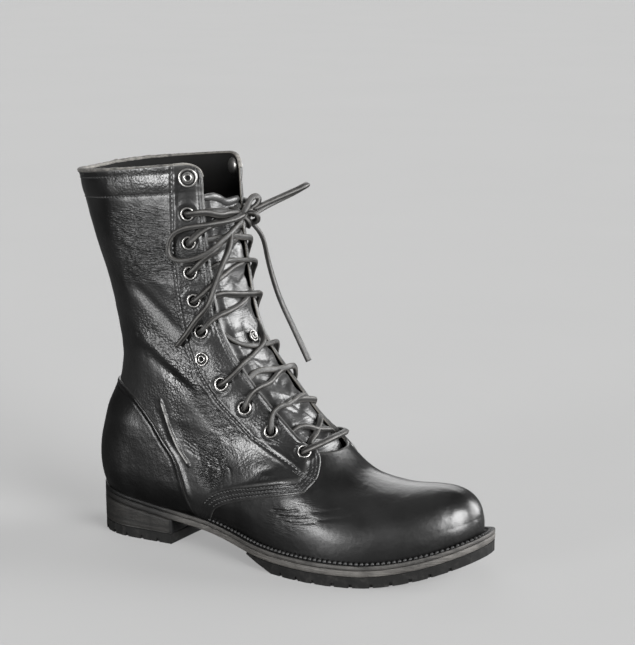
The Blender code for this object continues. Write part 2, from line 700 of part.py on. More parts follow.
def tongue_depth(y):
    """Depth of the tongue's outer face below the round of the shaft."""
    flat = np.maximum(0.0, 1.0 - (np.asarray(y) / 27.0) ** 2) ** 1.5
    return WALL + 0.5 + TONGUE_DIP * flat


def shaft_point(y, v, depth):
    """Point at a depth under the surface, at a signed distance y from the middle."""
    return inside(edge_u(v, -1 if y < 0.0 else 1, abs(y)), v, depth)


def tube_mesh(path):
    """Vertices and faces of a closed tube of the lace's size along a path."""
    path = np.asarray(path, float)
    along = np.gradient(path, axis=0)
    along = along / np.linalg.norm(along, axis=1, keepdims=True)
    side = np.cross(along, (0.0, 0.0, 1.0))
    side = side / np.linalg.norm(side, axis=1, keepdims=True)
    up = np.cross(side, along)
    vertices, rings = [], []
    for centre, a, b in zip(path, side, up):
        rings.append([len(vertices) + k for k in range(LACE_SIDES)])
        for k in range(LACE_SIDES):
            angle = 2.0 * math.pi * k / LACE_SIDES
            vertices.append(centre + LACE / 2.0 * (math.cos(angle) * a + math.sin(angle) * b))
    faces = [tuple(reversed(rings[0])), tuple(rings[-1])]
    for first, second in zip(rings, rings[1:]):
        faces += strip(first, second)
    return vertices, faces


def crossing_path(pair, side):
    """Strand from one eyelet over its facing's edge to just under the opposite edge, one pair up."""
    v, half = EYELETS[pair]
    climb = EYELETS[pair - 1][0] - v
    bottom = pair == len(EYELETS) - 1
    stations = BOTTOM_Y if bottom else (4.2 - half, *CROSS_Y)
    path = []
    for y in stations:
        t = (y - stations[0]) / (stations[-1] - stations[0])
        level = v + CROSS_RISE * climb * t ** CROSS_SAG + (BOTTOM_SHIFT if bottom else 0.0)
        rise = 0.0 if bottom else smooth(OVER_FROM, OVER_TO, -y)
        middle = 1.0 - smooth(4.0, 14.0, abs(y))
        depth = (tongue_depth(y) - LACE_LIFT) * (1.0 - rise) - LACE_LIFT * rise
        path.append(shaft_point(-side * y, level, depth - (side > 0) * CROSS_STACK * middle))
    return path


def build_crossings():
    look = lace_leather()
    for pair in range(len(EYELETS) - 1, 0, -1):
        strands = [mesh(f"lace_cross_{pair}", *tube_mesh(crossing_path(pair, 1)), look),
                   mesh(f"lace_cross_{pair}_under", *tube_mesh(crossing_path(pair, -1)), look)]
        join(strands[0], strands[1])
    v, half = EYELETS[-1]
    bar = [shaft_point(y, v, -LACE_LIFT) for y in np.linspace(4.2 - half, half - 4.2, BAR_POINTS)]
    mesh("lace_bar", *tube_mesh(bar), look)
    v, half = EYELETS[0]
    for side, word, route in ((-1, "outer", LEAD_OUTER), (1, "inner", LEAD_INNER)):
        start = [shaft_point(side * (half - 4.2), v, -LACE_LIFT), shaft_point(side * 23.5, v, -LACE_LIFT)]
        mesh(f"lace_lead_{word}", *tube_mesh(smooth_route(start + list(route), LACE * 2.0)), look)


def join(kept, added):
    """Unions the second object into the first; the second stays as a hidden guide."""
    union = kept.modifiers.new("union", "BOOLEAN")
    union.operation = "UNION"
    union.solver = "EXACT"
    union.object = added
    hide(added)


def hide(cutter):
    cutter.hide_render = True
    cutter.display_type = "WIRE"


def smooth_route(points, step):
    """Evenly spaced points along one smooth curve through the route's points."""
    points = np.asarray(points, float)
    knots = np.concatenate([[0.0], np.cumsum(np.linalg.norm(np.diff(points, axis=0), axis=1))])
    curve = spline(knots, points)
    fine = curve(np.linspace(0.0, knots[-1], 400))
    run = np.concatenate([[0.0], np.cumsum(np.linalg.norm(np.diff(fine, axis=0), axis=1))])
    count = max(3, int(round(run[-1] / step)) + 1)
    at = np.linspace(0.0, run[-1], count)
    return np.stack([np.interp(at, run, fine[:, k]) for k in range(3)], axis=1)


def cord(name, route):
    """Free run of lace as a bevelled curve."""
    points = (smooth_route(route, LACE * 2.3) - CENTRE) * MM
    data = bpy.data.curves.new(name, "CURVE")
    data.dimensions = "3D"
    data.bevel_depth = LACE / 2.0 * MM
    data.bevel_resolution = 2
    data.use_fill_caps = True
    line = data.splines.new("POLY")
    line.points.add(len(points) - 1)
    for point, place in zip(line.points, points):
        point.co = (*place, 1.0)
    data.materials.append(lace_leather())
    made = bpy.data.objects.new(name, data)
    bpy.context.collection.objects.link(made)


def build_bow():
    steps, bands = 12, 6
    vertices = [(0.0, 0.0, 1.0)]
    for band in range(1, bands):
        tilt = math.pi * band / bands
        for k in range(steps):
            turn = 2.0 * math.pi * k / steps
            vertices.append((math.sin(tilt) * math.cos(turn), math.sin(tilt) * math.sin(turn), math.cos(tilt)))
    vertices.append((0.0, 0.0, -1.0))
    rings = [[1 + band * steps + k for k in range(steps)] for band in range(bands - 1)]
    faces = [(0, rings[0][k], rings[0][(k + 1) % steps]) for k in range(steps)]
    for first, second in zip(rings, rings[1:]):
        faces += strip(first, second)
    last = len(vertices) - 1
    faces += [(last, rings[-1][(k + 1) % steps], rings[-1][k]) for k in range(steps)]
    mesh("lace_knot", np.array(vertices) * KNOT_RADII + KNOT, faces, lace_leather())
    cord("lace_loop_outer", LOOP_OUTER)
    cord("lace_loop_inner", LOOP_INNER)
    cord("lace_end_outer", END_OUTER)
    cord("lace_end_inner", END_INNER)


def main():
    for old in list(bpy.data.objects):
        bpy.data.objects.remove(old, do_unlink=True)
    build_sole()
    build_upper()
    build_tongue()
    build_counter()
    build_metal()
    build_crossings()
    build_bow()


main()
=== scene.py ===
"""Looks of the lace-up motorcycle boot: leather, linings, stitches, lace, fittings, camera and light.

Sizes and tables are in millimetres from the back of the heel, as in the part: +X to the toe, +Y to
the inner side of this right boot, +Z up.  place() turns them into the frame's metres.

The upper's skin is one surface, surface(u, v).  v runs from the feather line (0) up to the collar
(15).  u runs round each ring: 0 at the front, 0.25 on the outer side, 0.5 at the back, 0.75 on the
inner side, 1 at the front again.
"""
import math

import bpy
import numpy as np
from mathutils import Matrix


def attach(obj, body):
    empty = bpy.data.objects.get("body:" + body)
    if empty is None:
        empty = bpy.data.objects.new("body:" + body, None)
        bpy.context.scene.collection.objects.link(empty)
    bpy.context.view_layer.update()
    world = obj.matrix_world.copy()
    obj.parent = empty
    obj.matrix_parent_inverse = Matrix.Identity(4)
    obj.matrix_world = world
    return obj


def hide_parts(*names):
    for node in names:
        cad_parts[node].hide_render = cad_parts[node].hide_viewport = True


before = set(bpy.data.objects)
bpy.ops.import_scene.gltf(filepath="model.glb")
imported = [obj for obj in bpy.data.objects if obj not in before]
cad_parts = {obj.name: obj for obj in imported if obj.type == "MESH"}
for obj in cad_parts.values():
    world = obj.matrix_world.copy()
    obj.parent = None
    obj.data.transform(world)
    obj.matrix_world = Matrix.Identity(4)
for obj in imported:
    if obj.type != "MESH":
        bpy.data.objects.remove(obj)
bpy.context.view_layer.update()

MM = 0.001
CENTRE = np.array((139.2, -3.8, 0.0))    # middle of the boot's footprint, from the back of the heel
BODY = "root"
SIDES = (-1, 1)            # the outer side and the inner side

# --- driving sizes, as in the part ---------------------------------------------------------------
BALL_START = 206.0
TOE_TIP = 291.0
TOE_SWING = 4.0
HEEL_CAP = 34.0
WALL = 2.2
WELT_HEEL = 3.0
WELT_FRONT = 7.5
WELT_THICK = 3.0
WELT_INSIDE = 9.0
MIDSOLE_THICK = 4.0
TREAD_END = 225.0
TREAD_START = 165.0
OUTSOLE_START = 141.0
TOE_SPRING = 20.0
SPRING_POWER = 1.8
HEEL_BREAST = 72.0
TOPLIFT_THICK = 7.0
GAP = 0.3
THROAT_START = 7.3
THROAT_ROUND = 0.5
THROAT_HALF = 25.0
CORNER_ROUND = 10.0
COLLAR = 15.0
COLLAR_TILT = 2.6
TONGUE_DIP = 8.0
TONGUE_HALF = 31.0
TONGUE_LOW = 6.5
TONGUE_TOP = 13.9
SHAFT_POWER = 2.4
ARCH_POWER = 2.5
TOE_POWER = 2.4
BULGE_HEIGHT = 22.0
BLEND_LOW = 5.5
BLEND_HIGH = 9.5

WELT_TOP = (               # x, z
    (0.0, 34.6), (33.0, 30.2), (70.0, 25.2), (100.0, 21.6), (133.0, 17.0),
    (160.0, 15.2), (185.0, 15.0), (225.0, 15.0), (300.0, 15.0))

STATIONS = (               # x, feather outer, feather inner, body outer, body inner
    (3.0, 31.5, 32.0, 34.5, 34.5),
    (37.0, 31.5, 32.0, 34.5, 34.5),
    (70.0, 31.0, 31.0, 36.5, 36.0),
    (100.0, 29.5, 24.5, 38.0, 35.5),
    (130.0, 34.5, 21.5, 42.0, 35.5),
    (154.0, 43.5, 27.0, 47.0, 37.5),
    (180.0, 50.0, 37.0, 51.5, 41.5),
    (206.0, 51.0, 41.5, 52.5, 44.0),
    (232.0, 44.4, 42.8, 46.4, 44.8),
    (255.0, 35.0, 38.8, 37.0, 40.6),
    (277.0, 22.2, 28.5, 23.6, 30.0))

RINGS = (                  # back x, back z, front x, front z, sag, outer, inner
    (3.0, 34.3, 291.0, 31.2, 1.00, 38.0, 37.0),
    (0.6, 46.0, 291.2, 42.0, 0.95, 38.0, 37.0),
    (-0.4, 57.5, 287.8, 51.8, 0.88, 38.0, 37.0),
    (0.4, 67.5, 278.6, 59.0, 0.78, 38.0, 37.0),
    (2.4, 76.0, 263.0, 61.8, 0.66, 38.0, 37.0),
    (4.4, 83.5, 240.0, 60.2, 0.50, 38.0, 37.0),
    (6.2, 90.5, 218.0, 61.6, 0.33, 38.0, 37.0),
    (8.2, 97.5, 199.0, 70.0, 0.15, 38.0, 37.0),
    (10.8, 106.0, 180.0, 90.5, 0.00, 38.0, 36.5),
    (13.8, 117.5, 158.0, 113.0, 0.00, 37.0, 36.0),
    (15.5, 132.0, 136.5, 136.5, 0.00, 36.0, 35.0),
    (12.8, 151.0, 122.0, 160.5, 0.00, 36.0, 35.5),
    (6.2, 177.0, 114.0, 190.0, 0.00, 37.0, 36.8),
    (-2.9, 204.0, 109.0, 218.0, 0.00, 38.2, 38.2),
    (-12.8, 231.0, 106.5, 244.0, 0.00, 39.0, 39.2),
    (-20.0, 256.0, 105.0, 271.0, 0.00, 39.5, 39.8))

COUNTER = (                # v, share of the way from back to front
    (0.0, 0.306), (1.0, 0.300), (2.0, 0.295), (3.75, 0.288), (5.0, 0.287), (6.0, 0.282), (6.8, 0.270),
    (7.4, 0.235), (7.9, 0.190), (8.2, 0.130), (8.38, 0.060))

EYELETS = (                # v, |y|, from the top down
    (13.72, 31.7), (12.98, 32.1), (12.25, 32.6), (11.61, 32.5), (10.85, 32.3),
    (9.29, 33.9), (8.57, 33.0), (7.93, 31.8), (7.46, 28.1))
SNAP = (14.64, 30.8)
STUD = (10.04, 34.2)
TONGUE_STUD = 10.68        # ring of the middle of the stud on the tongue

LOOP_OUTER = (             # x, y, z
    (109.6, 0.8, 231.6), (109.8, -5.8, 230.6), (109.2, -12.9, 229.7), (104.9, -21.0, 228.7),
    (95.2, -30.9, 227.0), (86.3, -36.0, 225.2), (78.9, -39.0, 221.0), (75.6, -40.4, 213.0),
    (77.2, -40.2, 205.4), (84.0, -39.2, 203.3), (93.0, -36.6, 204.8), (100.7, -31.5, 208.8),
    (108.0, -22.5, 217.4), (108.4, -9.5, 222.8), (108.3, 1.6, 227.9))
LOOP_INNER = (             # x, y, z
    (111.0, 13.5, 234.2), (115.5, 20.0, 237.4), (121.5, 31.0, 241.5), (127.0, 44.0, 245.5),
    (129.0, 55.0, 248.0), (125.0, 61.0, 246.8), (119.0, 59.5, 243.0), (113.8, 51.0, 239.0),
    (110.3, 40.0, 235.8), (108.2, 28.0, 232.8), (108.5, 15.6, 230.3))
END_OUTER = (              # x, y, z
    (106.8, 3.6, 224.6), (104.6, -4.0, 221.5), (108.4, -14.5, 213.3), (108.8, -25.3, 199.7),
    (106.9, -28.8, 190.6), (105.5, -31.2, 183.9), (103.2, -33.8, 174.5), (95.4, -36.1, 164.1),
    (89.1, -38.3, 154.4), (80.8, -38.9, 144.0))
END_INNER = (              # x, y, z
    (109.0, 11.0, 226.4), (114.6, 16.0, 217.6), (116.4, 22.0, 201.5), (118.6, 25.0, 188.0),
    (122.4, 27.0, 174.6), (133.5, 29.0, 151.2), (145.4, 31.0, 127.7))
LEAD_OUTER = (             # x, y, z, after its start at the top eyelet
    (103.0, -20.0, 233.8), (104.4, -11.0, 233.4), (104.2, 2.2, 232.4))
LEAD_INNER = (             # x, y, z
    (103.0, 19.5, 233.6), (103.5, 14.5, 232.5))

# --- sizes of the looks --------------------------------------------------------------------------
SKIN_SCALE = (300.0, 17.0)                    # rough millimetres to a unit of u and to a ring
INNER_CREASES = 0.8        # height of the inner side's creases against the outer side's
# Front edge of the quarters below the throat, where they lie over the vamp.
QUARTER_SEAM = (           # v, u
    (0.0, 0.301), (0.30, 0.297), (0.80, 0.292), (1.26, 0.285), (1.67, 0.276), (2.22, 0.260), (2.96, 0.233),
    (3.63, 0.206), (4.45, 0.177), (5.10, 0.157), (5.65, 0.138), (6.21, 0.114), (6.69, 0.092), (7.08, 0.076),
    (7.38, 0.067))
TAB_TIP = 7.55             # ring of the foremost point of the quarters
TAB_TIP_U = 0.065          # and about where it lies round that ring
BAND_ROWS = (14.80, 14.27)                    # rings of the two stitch rows of the collar band
EYESTAY = (                # v, u of the stitched line behind the eyelets
    (14.95, 0.163), (13.7, 0.173), (12.7, 0.187), (11.65, 0.196), (10.4, 0.206), (9.65, 0.209),
    (8.7, 0.203), (8.1, 0.191), (7.6, 0.176), (7.3, 0.150), (7.0, 0.128), (6.6, 0.112))
SEAM_ROWS = (2.3, 4.7, 7.2)                   # stitch rows, in from the quarters' edge
QUARTER_STEP = 1.0         # the quarters stand this much proud of the vamp along their seam
COUNTER_STEP = 1.2         # the counter stands this much proud at its front edge
COUNTER_FULL = 2.2         # and this much further back
BEAD_WIDTH = 2.9           # rolled edge of the facings
BEAD_RISE = 0.75
SKIN_SIZE = {-1: (330, 272), 1: (250, 190)}   # rows and columns of each side of the quarters


# --- curves --------------------------------------------------------------------------------------
def spline(knots, values):
    """Natural cubic spline through the values, which may be numbers or rows of numbers."""
    knots = np.asarray(knots, float)
    values = np.asarray(values, float)
    count = len(knots)
    step = np.diff(knots)
    system = np.eye(count)
    right = np.zeros_like(values)
    for i in range(1, count - 1):
        system[i, i - 1:i + 2] = step[i - 1], 2.0 * (step[i - 1] + step[i]), step[i]
        rise = (values[i + 1] - values[i]) / step[i] - (values[i] - values[i - 1]) / step[i - 1]
        right[i] = 6.0 * rise
    bend = np.linalg.solve(system, right)

    def evaluate(at):
        at = np.clip(at, knots[0], knots[-1])
        i = np.clip(np.searchsorted(knots, at) - 1, 0, count - 2)
        h = step[i]
        a = knots[i + 1] - at
        b = at - knots[i]
        if values.ndim > 1:
            h, a, b = (np.asarray(q)[..., None] for q in (h, a, b))
        cubic = (bend[i] * a ** 3 + bend[i + 1] * b ** 3) / (6.0 * h)
        linear = (values[i] / h - bend[i] * h / 6.0) * a + (values[i + 1] / h - bend[i + 1] * h / 6.0) * b
        return cubic + linear
    return evaluate


def smooth(low, high, x):
    """0 below low, 1 above high, with a soft ramp between."""
    t = np.clip((x - low) / (high - low), 0.0, 1.0)
    return t * t * (3.0 - 2.0 * t)


def bump(x, width):
    """Bell curve: 1 at zero, and about a third at the width."""
    return np.exp(-(x / width) ** 2)


def column(table, index):
    return [row[index] for row in table]


def unit(vectors):
    """The same directions at length 1."""
    return vectors / np.linalg.norm(vectors, axis=-1, keepdims=True)


def mirrored(u, side):
    """u on the outer side (-1), or at the same place on the inner side (1)."""
    return u if side < 0 else 1.0 - u


def run_along(line):
    """Distance along a line at each of its points."""
    return np.concatenate([[0.0], np.cumsum(np.linalg.norm(np.diff(line, axis=0), axis=1))])


def even(points, step):
    """Evenly spaced points along one smooth curve through the given points."""
    points = np.asarray(points, float)
    knots = run_along(points)
    fine = spline(knots, points)(np.linspace(0.0, knots[-1], max(400, 12 * len(points))))
    return resample(fine, step)


def resample(line, step):
    """Evenly spaced points along a polyline."""
    run = run_along(line)
    count = max(3, int(round(run[-1] / step)) + 1)
    at = np.linspace(0.0, run[-1], count)
    return np.stack([np.interp(at, run, line[:, k]) for k in range(line.shape[1])], axis=1)


def toe_round(x, tip=TOE_TIP):
    t = np.clip((x - BALL_START) / (tip - BALL_START), 0.0, 1.0)
    return np.sqrt(1.0 - t ** TOE_POWER)


def toe_spring(x):
    return TOE_SPRING * np.clip((x - TREAD_END) / (300.0 - TREAD_END), 0.0, 2.0) ** SPRING_POWER


WELT_TOP_CURVE = spline(column(WELT_TOP, 0), column(WELT_TOP, 1))
STATION_CURVES = [
    spline(column(STATIONS, 0), [row[k] / toe_round(row[0]) for row in STATIONS]) for k in (1, 2, 3, 4)]
RING_CURVE = spline(range(len(RINGS)), RINGS)
RIDGE = RING_CURVE(np.linspace(0.0, COLLAR, 901))[::-1, 2:4]
RIDGE_X = np.maximum.accumulate(RIDGE[:, 0])


def welt_top(x):
    return WELT_TOP_CURVE(x) + toe_spring(x)


def centre_line(x):
    return TOE_SWING * (np.clip(x - 180.0, 0.0, None) / (TOE_TIP - 180.0)) ** 2


def ridge_height(x):
    return np.interp(x, RIDGE_X, RIDGE[:, 1])


# --- the upper's surface -------------------------------------------------------------------------
def surface(u, v):
    """Point of the upper's outer face, in millimetres."""
    u, v = np.broadcast_arrays(np.asarray(u, float), np.asarray(v, float))
    ring = RING_CURVE(v)
    back_x, back_z, front_x, front_z, sag, outer, inner = (ring[..., k] for k in range(7))
    along = (1.0 + np.cos(2.0 * math.pi * u)) / 2.0
    lateral = np.sin(2.0 * math.pi * u) >= 0.0
    x = back_x + (front_x - back_x) * along
    z = back_z + (front_z - back_z) * along
    sole_x = RINGS[0][0] + (RINGS[0][2] - RINGS[0][0]) * along
    sole_z = RINGS[0][1] + (RINGS[0][3] - RINGS[0][1]) * along
    z = z + sag * (welt_top(sole_x) - sole_z)

    height = z - welt_top(x)
    bulge = 1.0 - (1.0 - np.clip(height / BULGE_HEIGHT, 0.0, 1.0)) ** 2
    feather = np.where(lateral, STATION_CURVES[0](x), STATION_CURVES[1](x))
    body = np.where(lateral, STATION_CURVES[2](x), STATION_CURVES[3](x))
    reach = np.clip(height / np.maximum(ridge_height(x) - welt_top(x), 1.0), 0.0, 1.0)
    arch = np.sqrt(np.maximum(1.0 - reach ** ARCH_POWER, 0.0))
    heel = np.sqrt(1.0 - (1.0 - np.clip((x - back_x) / HEEL_CAP, 0.0, 1.0)) ** 2)
    toe = toe_round(x, np.maximum(front_x, TOE_TIP))
    foot = (feather + (body - feather) * bulge) * toe * arch * heel

    oval = np.sqrt(np.maximum(1.0 - np.abs(2.0 * along - 1.0) ** SHAFT_POWER, 0.0))
    shaft = np.where(lateral, outer, inner) * oval
    blend = smooth(BLEND_LOW, BLEND_HIGH, v)
    half = foot + (shaft - foot) * blend
    y = centre_line(x) + np.where(lateral, -half, half)
    z = z + COLLAR_TILT * smooth(11.0, COLLAR, v) * smooth(0.0, 38.0, y)
    return np.stack([x, y, z], axis=-1)


def normal(u, v):
    """Unit normal of the surface, pointing out of the boot."""
    du, dv = 0.002, 0.02
    low = np.clip(v - dv, 0.0, COLLAR)
    high = np.clip(v + dv, 0.0, COLLAR)
    across = surface(u + du, v) - surface(u - du, v)
    up = surface(u, high) - surface(u, low)
    return unit(np.cross(up, across))


def lifted(u, v, lift):
    """Point at a height over the skin, or under it where lift is below zero."""
    return surface(u, v) + normal(u, v) * np.asarray(lift, float)[..., None]


def edge_u(v, side, half):
    """u where a ring lies the given distance from the middle; side -1 is the outer side."""
    v = np.asarray(v, float)
    low = np.zeros(np.broadcast(v, half).shape)
    high = low + 0.2
    for _ in range(34):
        middle = (low + high) / 2.0
        nearer = np.abs(surface(mirrored(middle, side), v)[..., 1]) < half
        low = np.where(nearer, middle, low)
        high = np.where(nearer, high, middle)
    return mirrored(low, side)


def gap_at(v):
    """Half the throat's gap at a ring."""
    t = np.clip((np.asarray(v, float) - THROAT_START) / THROAT_ROUND, 0.0, 1.0)
    return THROAT_HALF * np.sqrt(1.0 - (1.0 - t) ** 2)


def quarter_front(v, side):
    """u of the quarters' front edge: over the vamp below the tab, and beside the throat above it."""
    v = np.asarray(v, float)
    facing = edge_u(np.maximum(v, TAB_TIP), side, gap_at(np.maximum(v, TAB_TIP)))
    return np.where(v < TAB_TIP, SEAM_CURVES[side](np.minimum(v, TAB_TIP)), facing)


def seam_curve(side):
    """u of the seam over the vamp as one smooth curve of v."""
    tip = float(edge_u(TAB_TIP, side, gap_at(TAB_TIP)))
    values = [mirrored(u, side) for u in column(QUARTER_SEAM, 1)] + [tip]
    return spline(column(QUARTER_SEAM, 0) + [TAB_TIP], values)


SEAM_CURVES = {side: seam_curve(side) for side in SIDES}


def skin_line(route):
    """Points of the surface at given (u, v) points."""
    return surface(np.array(column(route, 0)), np.array(column(route, 1)))


def corner_drop(v, edge):
    """Lowers the collar towards the facings' rounded top corners, in rings."""
    reach = np.clip(edge / 0.045, 0.0, 1.0)
    drop = CORNER_ROUND * (1.0 - np.sqrt(1.0 - (1.0 - reach) ** 2))
    return drop / 27.0 * smooth(13.0, COLLAR, v)


# --- meshes --------------------------------------------------------------------------------------
def place(points):
    """Millimetres from the back of the heel as metres in the frame."""
    return (np.asarray(points, float) - CENTRE) * MM


def mesh_piece(name, points, faces, look, replaces=(), slot=None, masks=None):
    """One smooth piece that rides on the boot; masks are numbers stored at each point."""
    data = bpy.data.meshes.new(name)
    data.from_pydata(place(points).tolist(), [], [tuple(int(i) for i in f) for f in faces])
    data.validate()
    data.polygons.foreach_set("use_smooth", [True] * len(data.polygons))
    for key, values in (masks or {}).items():
        layer = data.attributes.new(key, "FLOAT", "POINT")
        layer.data.foreach_set("value", np.asarray(values, np.float32).ravel())
    data.materials.append(look)
    made = bpy.data.objects.new(name, data)
    bpy.context.scene.collection.objects.link(made)
    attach(made, BODY)
    if replaces:
        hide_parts(*replaces)
    return made


def grid_faces(rows, columns, closed=False):
    """Quads of a grid numbered row by row; a closed one joins its last column to its first."""
    r, c = np.meshgrid(np.arange(rows - 1), np.arange(columns if closed else columns - 1), indexing="ij")
    after = (c + 1) % columns
    here = r * columns
    below = here + columns
    return np.stack([here + c, here + after, below + after, below + c], -1).reshape(-1, 4)


def to_line(points, line):
    """Distance from each point to a polyline."""
    points = np.asarray(points, float)
    best = np.full(len(points), 1e9)
    for a, b in zip(line[:-1], line[1:]):
        span = b - a
        t = np.clip((points - a) @ span / max(float(span @ span), 1e-9), 0.0, 1.0)
        best = np.minimum(best, np.linalg.norm(points - a - t[:, None] * span, axis=1))
    return best


def ripple(points, size, seed):
    """Soft random height between about -1 and 1, with bumps of the given size."""
    random = np.random.RandomState(seed)
    total = np.zeros(len(points))
    for _ in range(9):
        direction = random.normal(size=3)
        direction *= 2.0 * math.pi / size / np.linalg.norm(direction) * random.uniform(0.6, 1.4)
        total += np.sin(points @ direction + random.uniform(0.0, 2.0 * math.pi))
    return total / 4.5


# --- creases -------------------------------------------------------------------------------------
# Each crease is a height (below zero for a trough), a half-width, and its points as (u, v).
FOLDS = (
    # the sharp fold in front of the counter
    (1.35, 0.85, ((0.306, 8.15), (0.304, 7.60), (0.303, 7.10), (0.303, 6.40), (0.304, 5.80), (0.307, 4.90),
                  (0.308, 4.20), (0.307, 3.50))),
    (-0.45, 3.0, ((0.317, 7.80), (0.314, 7.10), (0.314, 6.20), (0.316, 5.30), (0.319, 4.40))),
    (0.4, 5.0, ((0.304, 7.60), (0.302, 6.80), (0.303, 5.80), (0.307, 4.60))),
    (0.5, 0.7, ((0.300, 6.10), (0.301, 5.60), (0.304, 5.00))),
    (0.8, 1.8, ((0.322, 5.00), (0.319, 3.60), (0.316, 2.40), (0.313, 1.20))),
    # fan of short wrinkles behind the eyestay
    (-0.50, 0.70, ((0.214, 8.85), (0.230, 8.80), (0.246, 8.68))),
    (-0.30, 0.75, ((0.213, 8.66), (0.229, 8.58), (0.247, 8.42))),
    (-0.50, 0.65, ((0.211, 8.46), (0.228, 8.36), (0.246, 8.18))),
    (-0.40, 0.70, ((0.208, 8.28), (0.225, 8.16), (0.243, 7.97))),
    (-0.30, 0.70, ((0.204, 8.08), (0.221, 7.94), (0.239, 7.76))),
    (-0.40, 0.65, ((0.199, 7.88), (0.215, 7.72), (0.231, 7.56))),
    (-0.30, 0.65, ((0.193, 7.68), (0.208, 7.52), (0.222, 7.38))),
    # crossed wrinkles in front of the fold
    (-0.2, 0.9, ((0.293, 5.50), (0.283, 5.10), (0.272, 4.60), (0.260, 4.20))),
    (-0.2, 0.9, ((0.290, 6.00), (0.280, 5.60), (0.268, 5.05), (0.254, 4.60))),
    (-0.2, 0.9, ((0.286, 6.40), (0.274, 5.95), (0.261, 5.45), (0.246, 5.00))),
    (-0.2, 0.9, ((0.276, 6.50), (0.264, 6.05), (0.250, 5.70))),
    (-0.2, 0.9, ((0.270, 6.30), (0.277, 5.60), (0.284, 4.80), (0.291, 4.00))),
    (-0.2, 0.9, ((0.260, 6.10), (0.268, 5.40), (0.276, 4.50), (0.285, 3.60))),
    (-0.2, 0.9, ((0.251, 5.80), (0.259, 5.10), (0.268, 4.20), (0.277, 3.30))),
    (-0.2, 0.9, ((0.243, 5.50), (0.250, 4.80), (0.260, 3.90))),
    # long soft folds over the ankle and the shaft
    (1.8, 4.8, ((0.221, 9.10), (0.241, 9.48), (0.262, 9.95), (0.287, 10.42), (0.318, 10.75))),
    (-1.5, 4.8, ((0.214, 10.75), (0.243, 11.30), (0.284, 11.88), (0.305, 12.15))),
    (-0.9, 4.0, ((0.232, 8.75), (0.262, 9.35), (0.290, 9.80), (0.310, 10.05))),
    (1.2, 5.0, ((0.210, 11.90), (0.245, 12.25), (0.285, 12.55))),
    (-0.4, 1.3, ((0.212, 12.33), (0.232, 12.22), (0.255, 12.28), (0.276, 12.52), (0.288, 12.80))),
    (0.7, 2.6, ((0.212, 12.50), (0.234, 12.42), (0.256, 12.48), (0.275, 12.70))),
    (-0.5, 1.0, ((0.200, 13.20), (0.230, 13.10), (0.262, 13.16), (0.290, 13.34))),
    (0.9, 3.0, ((0.195, 13.02), (0.235, 12.92), (0.272, 13.00), (0.300, 13.20))),
    (-0.5, 0.9, ((0.200, 13.44), (0.225, 13.38), (0.250, 13.42))),
    (-0.4, 0.9, ((0.215, 12.86), (0.240, 12.80), (0.268, 12.88))),
    # along the seam over the vamp
    (0.5, 4.0, ((0.140, 6.35), (0.175, 5.55), (0.210, 4.45), (0.240, 3.50), (0.262, 2.75))),
    (-0.5, 3.0, ((0.150, 6.85), (0.185, 6.20), (0.220, 5.20))),
)


def crease_height(points, folds):
    """Heights of the listed creases, with a lower copy of each on the inner side."""
    total = np.zeros(len(points))
    for side, share in ((-1, 1.0), (1, INNER_CREASES)):
        for height, width, line in folds:
            route = np.array([(mirrored(u, side), v) for u, v in line])
            fine = resample(route * SKIN_SCALE, 4.0) / SKIN_SCALE
            track = surface(fine[:, 0], fine[:, 1])
            low, high = track.min(axis=0) - 3.5 * width, track.max(axis=0) + 3.5 * width
            near = np.nonzero(np.all((points > low) & (points < high), axis=1))[0]
            if len(near) == 0:
                continue
            ends = np.minimum(
                np.linalg.norm(points[near] - track[0], axis=1),
                np.linalg.norm(points[near] - track[-1], axis=1))
            fade = smooth(0.0, 3.0 * width, ends + width)
            total[near] += share * height * fade * bump(to_line(points[near], track), width)
    return total


